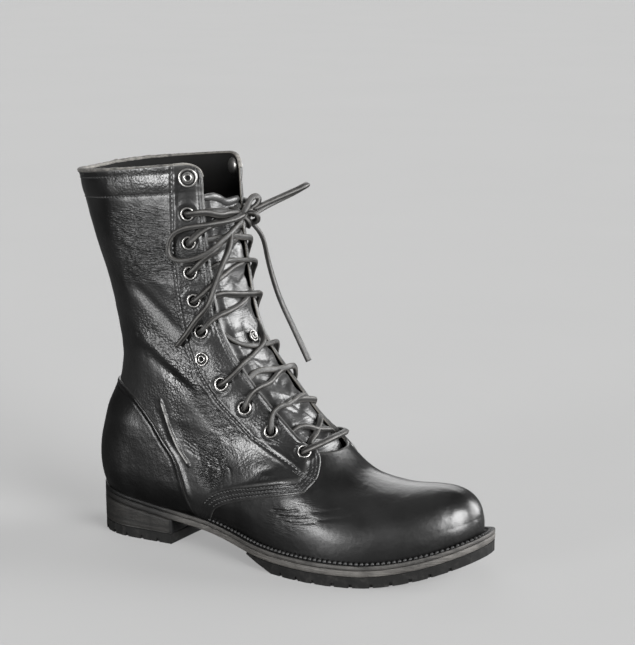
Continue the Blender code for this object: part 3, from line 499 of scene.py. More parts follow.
# --- materials -----------------------------------------------------------------------------------
class Nodes:
    """Small helper to wire up one material."""

    def __init__(self, name):
        self.material = bpy.data.materials.new(name)
        self.material.use_nodes = True
        self.tree = self.material.node_tree
        self.shader = self.tree.nodes["Principled BSDF"]
        self.place = self.add("ShaderNodeTexCoord").outputs["Object"]

    def add(self, kind, **settings):
        node = self.tree.nodes.new(kind)
        for key, value in settings.items():
            setattr(node, key, value)
        return node

    def link(self, source, socket):
        """Wires up an output, or sets a plain value."""
        if isinstance(source, (int, float, tuple)):
            socket.default_value = source
        else:
            self.tree.links.new(source, socket)

    def mask(self, name):
        return self.add("ShaderNodeAttribute", attribute_name=name).outputs["Fac"]

    def stretched(self, scale, turn=(0.0, 0.0, 0.0)):
        """Object coordinates, scaled by one number or three and turned."""
        mapping = self.add("ShaderNodeMapping")
        self.link(self.place, mapping.inputs["Vector"])
        mapping.inputs["Scale"].default_value = (scale,) * 3 if isinstance(scale, (int, float)) else scale
        mapping.inputs["Rotation"].default_value = turn
        return mapping.outputs["Vector"]

    def noise(self, size, detail=3.0, rough=0.55, where=None):
        """Noise with features of about the given size in millimetres."""
        node = self.add("ShaderNodeTexNoise")
        self.link(self.place if where is None else where, node.inputs["Vector"])
        node.inputs["Scale"].default_value = 1.0 if where is not None else 1.0 / (size * MM)
        node.inputs["Detail"].default_value = detail
        node.inputs["Roughness"].default_value = rough
        return node.outputs["Fac"]

    def cells(self, size, feature="F1", soft=0.6):
        """Cells of about the given size in millimetres."""
        node = self.add("ShaderNodeTexVoronoi", feature=feature)
        self.link(self.place, node.inputs["Vector"])
        node.inputs["Scale"].default_value = 1.0 / (size * MM)
        if feature == "SMOOTH_F1":
            node.inputs["Smoothness"].default_value = soft
        return node.outputs["Distance"]

    def math(self, operation, a, b=0.0, clamp=False):
        node = self.add("ShaderNodeMath", operation=operation, use_clamp=clamp)
        self.link(a, node.inputs[0])
        self.link(b, node.inputs[1])
        return node.outputs[0]

    def ramp(self, source, low, high, start=0.0, end=1.0):
        node = self.add("ShaderNodeMapRange", clamp=True)
        self.link(source, node.inputs["Value"])
        for key, value in (("From Min", low), ("From Max", high), ("To Min", start), ("To Max", end)):
            node.inputs[key].default_value = value
        return node.outputs["Result"]

    def mix(self, share, a, b):
        """Colour a where share is 0 and b where it is 1."""
        node = self.add("ShaderNodeMix", data_type="RGBA")
        self.link(share, node.inputs[0])
        self.link((*a, 1.0) if isinstance(a, tuple) and len(a) == 3 else a, node.inputs[6])
        self.link((*b, 1.0) if isinstance(b, tuple) and len(b) == 3 else b, node.inputs[7])
        return node.outputs[2]

    def bump(self, height, strength, distance, after=None):
        """Bump in millimetres of distance, stacked on an earlier one."""
        node = self.add("ShaderNodeBump")
        node.inputs["Strength"].default_value = strength
        node.inputs["Distance"].default_value = distance * MM
        self.link(height, node.inputs["Height"])
        if after is not None:
            self.link(after, node.inputs["Normal"])
        return node.outputs["Normal"]

    def finish(self, colour, roughness, bumped=None, **fixed):
        self.link(colour, self.shader.inputs["Base Color"])
        self.link(roughness, self.shader.inputs["Roughness"])
        if bumped is not None:
            self.link(bumped, self.shader.inputs["Normal"])
        for key, value in fixed.items():
            self.shader.inputs[key.replace("_", " ").title().replace("Ior", "IOR")].default_value = value
        return self.material


def leather(name, tone=0.020, gloss=0.36, grain=1.0, shine=0.42):
    """Waxed black leather; masks say where it is pebbled, lined, hatched and polished, and where it is worn
    grey or carries painted sheen.
    """
    n = Nodes(name)
    pebble = n.math("MULTIPLY", n.cells(1.6, "SMOOTH_F1", soft=0.4), n.mask("pebble"))
    lines = n.noise(1.0, 2.0, 0.5, n.stretched((170.0, 170.0, 900.0), (0.0, 0.14, 0.0)))
    lines = n.math("MULTIPLY", n.ramp(lines, 0.36, 0.64), n.mask("lines"))
    first_hatch = n.noise(1.0, 1.0, 0.5, n.stretched((220.0, 220.0, 1250.0), (0.0, 0.85, 0.0)))
    second_hatch = n.noise(1.0, 1.0, 0.5, n.stretched((220.0, 220.0, 1250.0), (0.0, -0.65, 0.0)))
    hatch = n.math("MAXIMUM", n.ramp(first_hatch, 0.42, 0.6), n.ramp(second_hatch, 0.42, 0.6))
    hatch = n.math("MULTIPLY", hatch, n.mask("hatch"))
    cloud = n.noise(26.0, 4.0, 0.6)
    patches = n.noise(55.0, 2.0, 0.5)
    scuffs = n.ramp(n.noise(2.6, 6.0, 0.75), 0.60, 0.74)
    wear_and_sheen = n.mask("wear_and_sheen")
    bumped = n.bump(n.noise(8.0, 2.0, 0.5), 0.22, 1.6)
    bumped = n.bump(lines, 0.8, 0.55, bumped)
    bumped = n.bump(hatch, 0.8, 0.42, bumped)
    bumped = n.bump(pebble, 0.65 * grain, 0.55, bumped)
    bumped = n.bump(n.cells(0.6, "F1"), 0.14, 0.12, bumped)
    base = n.mix(n.ramp(cloud, 0.35, 0.7), (tone * 0.55,) * 3, (tone * 1.5,) * 3)
    base = n.mix(n.math("MULTIPLY", scuffs, 0.35), base, (tone * 4.0, tone * 3.95, tone * 3.85))
    # Light grey of wear at edges, and painted highlight where the quarters' masks lay sheen.
    base = n.mix(wear_and_sheen, base, (0.22, 0.217, 0.21))
    rough = n.ramp(patches, 0.3, 0.7, gloss - 0.07, gloss + 0.10)
    rough = n.math("ADD", rough, n.math("MULTIPLY", scuffs, 0.08))
    rough = n.math("ADD", rough, n.math("MULTIPLY", n.mask("polish"), -0.12))
    rough = n.math("ADD", rough, n.math("MULTIPLY", wear_and_sheen, 0.22), clamp=True)
    return n.finish(base, rough, bumped, specular_ior_level=shine)


def lining_leather():
    n = Nodes("lining_leather")
    nap = n.noise(0.5, 5.0, 0.7)
    cloud = n.noise(18.0, 3.0, 0.6)
    base = n.mix(cloud, (0.002, 0.002, 0.002), (0.006, 0.0058, 0.0055))
    base = n.mix(n.mask("wear_and_sheen"), base, (0.30, 0.28, 0.25))
    return n.finish(base, n.ramp(cloud, 0.3, 0.7, 0.7, 0.9), n.bump(nap, 0.3, 0.2), specular_ior_level=0.12)


def raw_edge():
    """Cut edge of thick leather, left fibrous."""
    n = Nodes("raw_edge")
    fibre = n.noise(0.35, 6.0, 0.8)
    base = n.mix(n.ramp(n.noise(5.0, 5.0, 0.75), 0.35, 0.7), (0.018, 0.017, 0.016), (0.15, 0.143, 0.13))
    return n.finish(base, 0.8, n.bump(fibre, 0.6, 0.3))


def lace_look():
    n = Nodes("lace_leather_look")
    grain = n.noise(0.7, 4.0, 0.7)
    cloud = n.noise(14.0, 3.0, 0.6)
    base = n.mix(cloud, (0.003, 0.0029, 0.0028), (0.011, 0.0107, 0.0103))
    edge = n.math("MULTIPLY", n.mask("edge"), n.ramp(n.noise(6.0, 3.0, 0.6), 0.3, 0.7, 0.35, 1.0))
    base = n.mix(edge, base, (0.050, 0.048, 0.045))
    rough = n.ramp(cloud, 0.3, 0.7, 0.42, 0.58)
    return n.finish(base, rough, n.bump(grain, 0.5, 0.25), specular_ior_level=0.32)


def thread(name, tone):
    n = Nodes(name)
    twist = n.noise(0.3, 2.0, 0.5)
    base = n.mix(n.noise(4.0, 3.0, 0.6), (tone * 0.6,) * 3, (tone * 1.3,) * 3)
    return n.finish(base, 0.6, n.bump(twist, 0.4, 0.12))


def nickel():
    n = Nodes("nickel_look")
    cloud = n.noise(2.5, 4.0, 0.65)
    tarnish = n.mask("tarnish")
    base = n.mix(n.ramp(cloud, 0.35, 0.7), (0.36, 0.355, 0.345), (0.16, 0.155, 0.15))
    base = n.mix(tarnish, base, (0.012, 0.012, 0.012))
    rough = n.math("ADD", n.ramp(cloud, 0.3, 0.75, 0.30, 0.46), n.math("MULTIPLY", tarnish, 0.4))
    return n.finish(base, rough, n.bump(n.noise(0.9, 3.0, 0.6), 0.10, 0.04), metallic=1.0)


def edge_leather(name, low, high, layers=0.0, heel=None):
    """Sole leather seen at its edge: grey-brown, burnished, with fine layers; near-black painted shade where
    the heel mask is set.
    """
    n = Nodes(name)
    strata = n.noise(1.0, 4.0, 0.7, n.stretched((60.0, 60.0, 1600.0)))
    cloud = n.noise(11.0, 5.0, 0.65)
    specks = n.ramp(n.noise(1.2, 5.0, 0.8), 0.58, 0.7)
    base = n.mix(n.ramp(strata, 0.3, 0.7), low, high)
    base = n.mix(n.ramp(cloud, 0.45, 0.75, 0.0, 0.7), base, tuple(0.35 * k for k in low))
    base = n.mix(n.math("MULTIPLY", specks, 0.4), base, tuple(1.6 * k for k in high))
    # Painted shade: near-black where the heel mask is set.
    if heel:
        base = n.mix(n.mask("heel"), base, heel)
    if layers:
        wave = n.add("ShaderNodeTexWave", bands_direction="Z")
        n.link(n.place, wave.inputs["Vector"])
        wave.inputs["Scale"].default_value = layers
        wave.inputs["Distortion"].default_value = 0.6
        seams = n.ramp(wave.outputs["Fac"], 0.0, 0.10, 0.75, 0.0)
        base = n.mix(seams, base, (0.002, 0.002, 0.0018))
    bumped = n.bump(n.noise(2.2, 5.0, 0.7), 0.5, 0.5, n.bump(strata, 0.5, 0.4))
    return n.finish(base, n.ramp(cloud, 0.3, 0.7, 0.46, 0.66), bumped, specular_ior_level=0.20)


def rubber():
    n = Nodes("rubber_look")
    dust = n.ramp(n.noise(4.0, 6.0, 0.75), 0.5, 0.72)
    base = n.mix(n.noise(12.0, 3.0, 0.6), (0.002, 0.002, 0.002), (0.005, 0.005, 0.0048))
    base = n.mix(n.math("MULTIPLY", dust, 0.5), base, (0.024, 0.023, 0.0215))
    return n.finish(base, 0.75, n.bump(n.noise(0.8, 4.0, 0.7), 0.35, 0.3), specular_ior_level=0.15)


def insole_look():
    n = Nodes("insole_look")
    cloud = n.noise(20.0, 4.0, 0.6)
    base = n.mix(cloud, (0.06, 0.045, 0.03), (0.14, 0.105, 0.075))
    return n.finish(base, 0.6, n.bump(n.cells(0.6, "F1"), 0.2, 0.1))


VAMP_LOOK = leather("vamp_look", 0.003, 0.33)
QUARTER_LOOK = leather("quarter_look", 0.005, 0.36)
COUNTER_LOOK = leather("counter_look", 0.002, 0.32, shine=0.24)
# The tongue's tone is four times the quarters': painted light on the tongue.
TONGUE_LOOK = leather("tongue_look", 0.020, 0.34, 0.5)
LINING_LOOK = lining_leather()
RAW_LOOK = raw_edge()
LACE_LOOK = lace_look()
THREAD_LOOK = thread("thread_look", 0.10)
DARK_THREAD_LOOK = thread("dark_thread_look", 0.014)
HOLE_LOOK = thread("hole_look", 0.004)
WELT_THREAD_LOOK = thread("welt_thread_look", 0.012)
NICKEL_LOOK = nickel()
# Their heel colour is near-black painted shade: on the welt's top face, on welt and midsole round the heel,
# and on the stack's breast.
WELT_LOOK = edge_leather(
    "welt_look", (0.016, 0.0154, 0.0146), (0.062, 0.0595, 0.056), heel=(0.0015, 0.0015, 0.0015))
MIDSOLE_LOOK = edge_leather(
    "midsole_look", (0.024, 0.0227, 0.0212), (0.085, 0.081, 0.0755), heel=(0.004, 0.0038, 0.0035))
STACK_LOOK = edge_leather(
    "stack_look", (0.0025, 0.0024, 0.0022), (0.017, 0.0161, 0.0147), 26.0, heel=(0.0008, 0.0008, 0.0008))
RUBBER_LOOK = rubber()
INSOLE_LOOK = insole_look()


# --- vamp, quarters, lining and counter ----------------------------------------------------------
def seam_line(side):
    v = np.linspace(0.0, TAB_TIP, 70)
    return surface(quarter_front(v, side), v)


def facing_line(side):
    v = np.linspace(TAB_TIP, COLLAR, 60)
    return surface(quarter_front(v, side), v)


SEAM_LINES = {side: seam_line(side) for side in SIDES}
FACING_LINES = {side: facing_line(side) for side in SIDES}
EYESTAY_LINES = {side: skin_line([(mirrored(u, side), v) for v, u in EYESTAY]) for side in SIDES}


def near_lines(points, lines):
    """Distance to the nearer of the two sides' lines."""
    return np.minimum(to_line(points, lines[-1]), to_line(points, lines[1]))


def eyelet_places():
    """Centre of each hole in the facings, with its normal."""
    found = []
    for side in SIDES:
        for v, half in EYELETS:
            u = float(edge_u(v, side, half))
            found.append((surface(u, v), normal(u, v)))
    return found


VAMP_TOP = 7.46            # ring at which the vamp ends under the tongue
VAMP_EDGE = (              # v, u to which the vamp reaches under the quarters
    (0.0, 0.315), (3.0, 0.262), (5.5, 0.190), (6.6, 0.140), (7.3, 0.100), (7.5, 0.085))
VAMP_WRINKLED = ((0.225, 1.7), (0.210, 2.1), (0.195, 2.5))      # u, v
# Height, half-width, and points as (u, v), as in FOLDS.
VAMP_FOLDS = (
    (-0.45, 0.8, ((0.228, 2.30), (0.216, 2.42), (0.203, 2.62))),
    (-0.45, 0.8, ((0.224, 2.02), (0.211, 2.12), (0.196, 2.34))),
    (-0.40, 0.8, ((0.220, 1.72), (0.206, 1.84), (0.190, 2.06))),
    (-0.25, 1.2, ((0.196, 2.60), (0.178, 2.80), (0.158, 3.15))),
    (-0.20, 1.2, ((0.190, 2.20), (0.170, 2.42), (0.150, 2.80))),
    (0.35, 6.0, ((0.210, 2.90), (0.170, 3.30), (0.120, 4.20), (0.080, 5.30))),
    (-0.30, 6.0, ((0.200, 2.50), (0.150, 2.90), (0.100, 3.70), (0.060, 4.80))),
)


def build_vamp():
    rows = np.linspace(0.0, VAMP_TOP, 150)
    reach = np.linspace(-1.0, 1.0, 391)
    outer = np.interp(rows, column(VAMP_EDGE, 0), column(VAMP_EDGE, 1))
    u = (outer[:, None] * -reach[None, :]) % 1.0
    v = np.broadcast_to(rows[:, None], u.shape)
    points = surface(u, v).reshape(-1, 3)
    seam_u = np.interp(v.ravel(), column(QUARTER_SEAM, 0) + [TAB_TIP], column(QUARTER_SEAM, 1) + [TAB_TIP_U])
    covered = (outer[:, None] * np.abs(reach)[None, :]).ravel() > seam_u
    seam = near_lines(points, SEAM_LINES)
    under = np.where(covered, smooth(0.0, 2.5, seam), 0.0)
    dip = -0.25 * bump(seam, 2.0) - 1.0 * under
    dip += crease_height(points, VAMP_FOLDS)
    dip += 0.18 * ripple(points, 34.0, 4) * smooth(250.0, 200.0, points[:, 0])
    skin = points + normal(u, v).reshape(-1, 3) * dip[:, None]
    skin[v.ravel() <= 0.0, 2] -= 0.3
    rim = lifted(u[-1], v[-1], np.full(len(reach), -WALL))
    grid = np.concatenate([skin.reshape(len(rows), -1, 3), rim[None]])
    flat = np.concatenate([v.ravel(), np.full(len(reach), VAMP_TOP)])
    creased = smooth(15.0, 5.0, to_line(skin, skin_line(VAMP_WRINKLED)))
    creased = np.concatenate([creased, np.zeros(len(reach))])
    wear_and_sheen = 0.1 * bump(flat - VAMP_TOP, 0.05)
    mesh_piece("vamp", grid.reshape(-1, 3), grid_faces(len(rows) + 1, len(reach)), VAMP_LOOK,
               slot="black_leather", masks={"pebble": 0.0 * flat, "lines": 0.22 * creased, "wear_and_sheen": wear_and_sheen})


def edge_columns(side, rows, sizes):
    """u of columns at the given distances in from the quarters' front edge, row by row."""
    front = quarter_front(rows, side)
    inward = 1.0 if side < 0 else -1.0
    step = 0.002
    here = surface(front, rows)
    across = (surface(front + inward * step, rows) - here) / step
    length = np.linalg.norm(across, axis=1)
    run = unit(np.gradient(here, axis=0))
    slant = np.linalg.norm(np.cross(across / length[:, None], run), axis=1)
    return front[:, None] + inward * np.asarray(sizes)[None, :] / (length * np.clip(slant, 0.3, 1.0))[:, None]


EDGE_SIZES = (0.0, 0.35, 0.9, 1.5, 2.1, 2.7, 3.2, 3.8, 4.6)


def quarter_grid(side, rows, columns, sizes=EDGE_SIZES):
    """u and v of one side of the quarters, from its front edge to the seam at the back."""
    front = edge_columns(side, rows, sizes)
    share = np.linspace(0.0, 1.0, columns + 1)[1:]
    rest = front[:, -1:] + (0.5 - front[:, -1:]) * share[None, :]
    u = np.concatenate([front, rest], axis=1)
    v = np.broadcast_to(rows[:, None], u.shape).copy()
    near = np.abs(u - front[:, :1])
    v = v - np.where(v > 13.0, corner_drop(v, near), 0.0)
    return u, v


def quarter_rows(count):
    """Rings of the quarters' rows, with more of them round the tab and at the collar."""
    even_rows = np.linspace(0.0, COLLAR, count)
    extra = [7.42, 7.48, 7.51, 7.53, TAB_TIP, 7.57, 7.60, 7.66, 14.93, 14.97]
    return np.unique(np.concatenate([even_rows, extra]))


def quarter_height(points, u, v):
    """Height of the quarters' face over the surface."""
    seam = near_lines(points, SEAM_LINES)
    facing = near_lines(points, FACING_LINES)
    stay = near_lines(points, EYESTAY_LINES)
    height = QUARTER_STEP * bump(seam, 26.0)
    height -= 0.35 * bump(np.minimum(seam, facing), 0.5)
    height += np.where(v > TAB_TIP, BEAD_RISE * bump(facing - BEAD_WIDTH / 2.0, 1.1), 0.0)
    height -= 0.45 * bump(facing - BEAD_WIDTH - 0.7, 0.8) * (v > TAB_TIP)
    height -= 0.35 * bump(stay, 0.8)
    height += 0.35 * bump(stay - 2.0, 1.6)
    height -= 0.30 * (bump(v - BAND_ROWS[0], 0.05) + bump(v - BAND_ROWS[1], 0.05))
    height += 0.35 * smooth(0.0, 0.2, v - 14.3) * smooth(0.0, 0.2, 14.78 - v)
    height -= 0.45 * bump(surface(u, v)[..., 1], 1.0) * (np.abs(u - 0.5) < 0.1)
    for offset in SEAM_ROWS:
        height -= 0.35 * bump(seam - offset, 0.6)
    height += 0.55 * bump(seam - SEAM_ROWS[-1] - 2.4, 1.8)
    for centre, _ in eyelet_places():
        away = np.linalg.norm(points - centre, axis=1)
        height -= 3.4 * smooth(4.3, 3.3, away)
        height -= 0.25 * bump(away - 5.5, 0.7)
        height += 0.45 * bump(away - 7.4, 1.5)
    height += crease_height(points, FOLDS)
    height += 0.55 * ripple(points, 60.0, 2) * smooth(0.0, 25.0, facing) * smooth(6.5, 9.5, v)
    height += 0.16 * ripple(points, 17.0, 5) * smooth(5.0, 8.0, v)
    return height


# Lines of (u, v) points on the outer side, round which the leather's finish changes.
WRINKLE_FAN = ((0.205, 7.6), (0.225, 8.1), (0.240, 8.7))
CROSSED_WRINKLES = ((0.285, 3.6), (0.272, 4.6), (0.262, 5.4), (0.255, 6.2))
FOLD_RIDGE = (
    (0.305, 8.0), (0.303, 7.5), (0.303, 7.0), (0.304, 5.8), (0.307, 4.9), (0.308, 4.2), (0.307, 3.8))
ANKLE_FOLD = ((0.221, 9.40), (0.241, 9.79), (0.262, 10.27), (0.287, 10.73), (0.318, 11.05))


def quarter_masks(points, u, v):
    """Where the quarters are pebbled, lined, hatched and polished, and where they are worn grey or carry
    painted sheen.
    """
    seam = near_lines(points, SEAM_LINES)
    facing = near_lines(points, FACING_LINES)
    outer_u = np.minimum(u, 1.0 - u)
    outer_points = points.copy()
    outer_points[:, 1] = -np.abs(points[:, 1])
    pebble = smooth(3.0, 6.0, v) * (0.45 + 0.55 * smooth(-0.4, 0.5, ripple(points, 45.0, 11)))
    pebble *= (0.45 + 0.55 * smooth(2.0, 6.0, facing)) * (1.0 - 0.6 * smooth(12.0, 12.8, v))
    pebble *= 1.0 - 0.55 * smooth(8.5, 7.5, v) * smooth(0.285, 0.25, outer_u)
    pebble = np.maximum(pebble, 0.16) + 0.35 * smooth(14.25, 14.4, v)
    lines = smooth(11.9, 12.5, v) * smooth(14.1, 13.7, v) * smooth(0.17, 0.21, outer_u)
    lines *= 1.0 - 0.6 * smooth(0.30, 0.36, outer_u)
    hatch = smooth(15.0, 6.0, to_line(outer_points, skin_line(CROSSED_WRINKLES)))
    ridge = to_line(outer_points, skin_line(FOLD_RIDGE))
    hatch *= smooth(2.5, 7.0, ridge)
    pebble *= 0.10 + 0.90 * smooth(3.0, 9.0, ridge)
    pebble = np.maximum(pebble * 0.7, smooth(20.0, 6.0, to_line(outer_points, skin_line(ANKLE_FOLD))))
    hatch = np.maximum(hatch, 0.6 * smooth(10.0, 3.0, to_line(outer_points, skin_line(WRINKLE_FAN))))
    hatch = np.maximum(hatch, 0.5 * smooth(12.0, 12.3, v) * smooth(13.1, 12.7, v))
    back = smooth(0.295, 0.335, outer_u) * smooth(9.0, 11.0, v)
    pebble *= 1.0 - 0.7 * back
    lines *= 1.0 - 0.8 * back
    hatch *= 1.0 - back
    wear_and_sheen = 0.14 * bump(facing, 0.8) + 0.10 * bump(seam, 0.5) + 0.75 * bump(v - COLLAR, 0.03)
    # The fold's crest: worn grey, partly painted highlight.
    wear_and_sheen = wear_and_sheen + 0.85 * bump(ridge, 0.60) * (0.5 + 0.5 * smooth(0.8, -0.4, ripple(points, 9.0, 12)))
    # Front of the collar band, where the light falls: light speckle, partly wear, partly painted sheen.
    band = smooth(14.3, 14.4, v) * smooth(0.315, 0.285, outer_u)
    wear_and_sheen = wear_and_sheen + 0.05 * band * smooth(-0.4, 0.8, ripple(points, 14.0, 13))
    # Painted sheen along the padded ridge above the seam's stitch rows.
    wear_and_sheen = wear_and_sheen + 0.05 * bump(seam - 9.2, 1.2) * smooth(0.27, 0.23, outer_u)
    return {"pebble": pebble, "lines": lines, "hatch": hatch, "wear_and_sheen": wear_and_sheen, "polish": back}


def framed(values):
    """Repeats a grid's first column and last row, for the rim below them."""
    values = np.concatenate([values[:, :1], values], axis=1)
    return np.concatenate([values, values[-1:]])


def build_quarters():
    for word, side in (("outer", -1), ("inner", 1)):
        row_count, columns = SKIN_SIZE[side]
        u, v = quarter_grid(side, quarter_rows(row_count), columns)
        flat_u, flat_v = u.ravel(), v.ravel()
        points = surface(flat_u, flat_v)
        out = normal(flat_u, flat_v)
        height = quarter_height(points, flat_u, flat_v)
        skin = (points + out * height[:, None]).reshape(*u.shape, 3)
        low = framed((points + out * -1.15).reshape(*u.shape, 3))
        grid = framed(skin)
        grid[:, 0] = low[:, 0]
        grid[-1] = low[-1]
        faces = grid_faces(*grid.shape[:2])[:, ::-side]
        masks = quarter_masks(points, flat_u, flat_v)
        masks = {key: framed(values.reshape(u.shape)) for key, values in masks.items()}
        mesh_piece(f"quarter_{word}", grid.reshape(-1, 3), faces, QUARTER_LOOK, ["upper"], "black_leather",
                   masks)


def build_lining():
    """Inner faces of the quarters and the cut edges of both layers."""
    for word, side in (("outer", -1), ("inner", 1)):
        rows = quarter_rows(110)
        rows = rows[rows >= 6.0]
        u, v = quarter_grid(side, rows, 70, (0.0, 1.0, 3.0))
        grid = framed(lifted(u, v, np.full(u.shape, -WALL)))
        middle = framed(lifted(u, v, np.full(u.shape, -1.25)))
        grid[:, 0] = middle[:, 0]
        grid[-1] = middle[-1]
        wear = np.zeros(grid.shape[:2])
        wear[:, 0] = 0.4
        wear[-2:, :] = 0.6
        faces = grid_faces(*grid.shape[:2])[:, ::side]
        mesh_piece(f"lining_{word}", grid.reshape(-1, 3), faces, LINING_LOOK,
                   slot="black_leather", masks={"wear_and_sheen": wear})
    around = np.linspace(0.0, 1.0, 161)[:-1]
    uu, vv = np.meshgrid(around, np.linspace(0.0, 7.4, 60))
    foot = lifted(uu, vv, np.full(uu.shape, -WALL))
    mesh_piece("foot_lining", foot.reshape(-1, 3), grid_faces(*uu.shape, closed=True)[:, ::-1], LINING_LOOK,
               slot="black_leather", masks={"wear_and_sheen": np.zeros(uu.size)})


def tube(line, wide, tall, steps):
    """Grid of rings round a line, half-widths across and up at each of its points, and the way up."""
    along = unit(np.gradient(line, axis=0))
    across = unit(np.cross(along, (0.0, 0.0, 1.0)))
    up = np.cross(across, along)
    rings = []
    for k in range(steps):
        angle = 2.0 * math.pi * k / steps
        sideways = (wide * math.cos(angle))[:, None] * across
        rings.append(line + sideways + (tall * math.sin(angle))[:, None] * up)
    return np.stack(rings, axis=1), up


def build_collar_edge():
    """Raw, fibrous top edge of the collar, thickest at the back."""
    rows = np.array([14.9, COLLAR])
    lines = []
    for side in SIDES:
        u, v = quarter_grid(side, rows, 120, (0.0, 0.6, 1.4, 2.4, 3.6))
        line = lifted(u[-1], v[-1], np.full(u.shape[1], -WALL / 2.0 + 0.25))
        lines.append(line if side < 0 else line[::-1][1:])
    path = resample(np.concatenate(lines), 0.9)
    back = smooth(60.0, -5.0, path[:, 0])
    grid, up = tube(path, 1.45 + 0.35 * back, 0.75 + 0.75 * back, 14)
    rough = 0.22 * ripple(grid.reshape(-1, 3), 2.2, 41) + 0.25 * ripple(grid.reshape(-1, 3), 7.0, 42)
    grid = grid + (rough.reshape(grid.shape[:2]) * (0.3 + 0.7 * back)[:, None])[..., None] * up[:, None, :]
    mesh_piece("collar_edge", grid.reshape(-1, 3), grid_faces(*grid.shape[:2], closed=True), RAW_LOOK,
               slot="black_leather")


def counter_front(v):
    """u of the counter's front edge on the outer side."""
    share = np.interp(v, column(COUNTER, 0), column(COUNTER, 1))
    return np.arccos(2.0 * share - 1.0) / (2.0 * math.pi)


def build_counter():
    top = COUNTER[-1][0]
    rows = np.concatenate([np.linspace(0.0, 7.2, 90), np.linspace(7.25, top, 30)])
    front = counter_front(rows)
    share = np.linspace(0.0, 1.0, 171)
    share = np.unique(np.concatenate([share, [0.0012, 0.004, 0.996, 0.9988]]))
    u = front[:, None] + (1.0 - 2.0 * front[:, None]) * share[None, :]
    v = np.broadcast_to(rows[:, None], u.shape)
    points = surface(u.ravel(), v.ravel())
    out = normal(u.ravel(), v.ravel())
    edge = surface(front, rows)
    far = surface(1.0 - front, rows)
    rim = np.minimum(to_line(points, edge), to_line(points, far))
    rim = np.minimum(rim, to_line(points, surface(u[-1], rows[-1])))
    height = COUNTER_STEP + (COUNTER_FULL - COUNTER_STEP) * smooth(2.0, 22.0, rim)
    height -= 0.7 * bump(rim, 0.7)
    height -= 0.35 * bump(rim - 4.2, 0.7)
    height += 0.25 * bump(rim - 1.9, 1.0)
    height -= 0.35 * bump(v.ravel(), 0.35)
    height += 0.22 * ripple(points, 38.0, 8)
    skin = (points + out * height[:, None]).reshape(*u.shape, 3)
    low = (points - out * 0.5).reshape(*u.shape, 3)
    grid = np.concatenate([low[:, :1], skin, low[:, -1:]], axis=1)
    grid = np.concatenate([grid, np.concatenate([low[-1:, :1], low[-1:], low[-1:, -1:]], axis=1)])
    flat = np.ones(grid.shape[:2])
    wear_and_sheen = np.zeros(grid.shape[:2])
    wear_and_sheen[:-1, 1:-1] = (0.05 * bump(rim, 0.6)).reshape(u.shape)
    mesh_piece("counter", grid.reshape(-1, 3), grid_faces(*grid.shape[:2]), COUNTER_LOOK, ["heel_counter"],
               "black_leather", {"pebble": 0.16 * flat, "lines": 0.0 * flat, "wear_and_sheen": wear_and_sheen})


# --- tongue --------------------------------------------------------------------------------------
def tongue_depth(y):
    """Depth of the tongue's outer face below the round of the shaft."""
    flat = np.maximum(0.0, 1.0 - (np.asarray(y) / 27.0) ** 2) ** 1.5
    return WALL + 0.5 + TONGUE_DIP * flat


TONGUE_SLANT = 0.25        # rings by which the top edge stands higher on the outer side
TONGUE_SCALE = (1.0, SKIN_SCALE[1])           # millimetres to a unit of y and to a ring
TONGUE_CREASES = (         # height, half-width, points as (y, v)
    (-0.8, 2.0, ((-20.0, 12.55), (-8.0, 12.75), (6.0, 12.60), (20.0, 12.8))),
    (1.5, 3.2, ((-18.0, 12.20), (-2.0, 12.35), (18.0, 12.25))),
    (-0.8, 2.2, ((-22.0, 11.75), (-6.0, 11.95), (8.0, 11.80), (22.0, 12.0))),
    (1.2, 3.2, ((-20.0, 11.35), (-8.0, 11.45), (6.0, 11.40), (20.0, 11.5))),
    (-0.8, 2.2, ((-22.0, 10.20), (-8.0, 10.15), (8.0, 10.05), (22.0, 10.2))),
    (1.4, 3.4, ((-18.0, 10.75), (-10.0, 10.80))),
    (-0.8, 2.0, ((-20.0, 9.55), (-6.0, 9.45), (8.0, 9.60), (20.0, 9.5))),
    (1.4, 3.0, ((-18.0, 9.20), (0.0, 9.15), (16.0, 9.25))),
    (-0.9, 1.9, ((-20.0, 8.80), (-6.0, 8.70), (8.0, 8.85), (20.0, 8.7))),
    (-0.9, 1.8, ((-20.0, 8.25), (0.0, 8.15), (20.0, 8.2))),
    (1.3, 2.2, ((-18.0, 7.95), (0.0, 7.90), (18.0, 7.95))),
    (-0.5, 1.4, ((-6.0, 13.3), (0.0, 12.9), (10.0, 12.5))),
    (-0.5, 1.4, ((-14.0, 10.0), (-6.0, 9.8), (2.0, 9.5))),
    (-0.5, 1.3, ((-10.0, 9.1), (2.0, 8.8), (12.0, 8.4))),
)


def u_at(y, v):
    """u of the points at signed distances y from the middle."""
    return np.where(y < 0.0, edge_u(v, -1, np.abs(y)), edge_u(v, 1, np.abs(y)))


def shaft_point(y, v, depth):
    """Points at a depth under the surface, at signed distances y from the middle."""
    y, v, depth = np.broadcast_arrays(*(np.asarray(k, float) for k in (y, v, depth)))
    return lifted(u_at(y, v), v, -depth)


def tongue_top(y):
    """Ring of the tongue's top edge, which stands a little higher on its outer side."""
    return TONGUE_TOP + TONGUE_SLANT * smooth(8.0, -24.0, y)


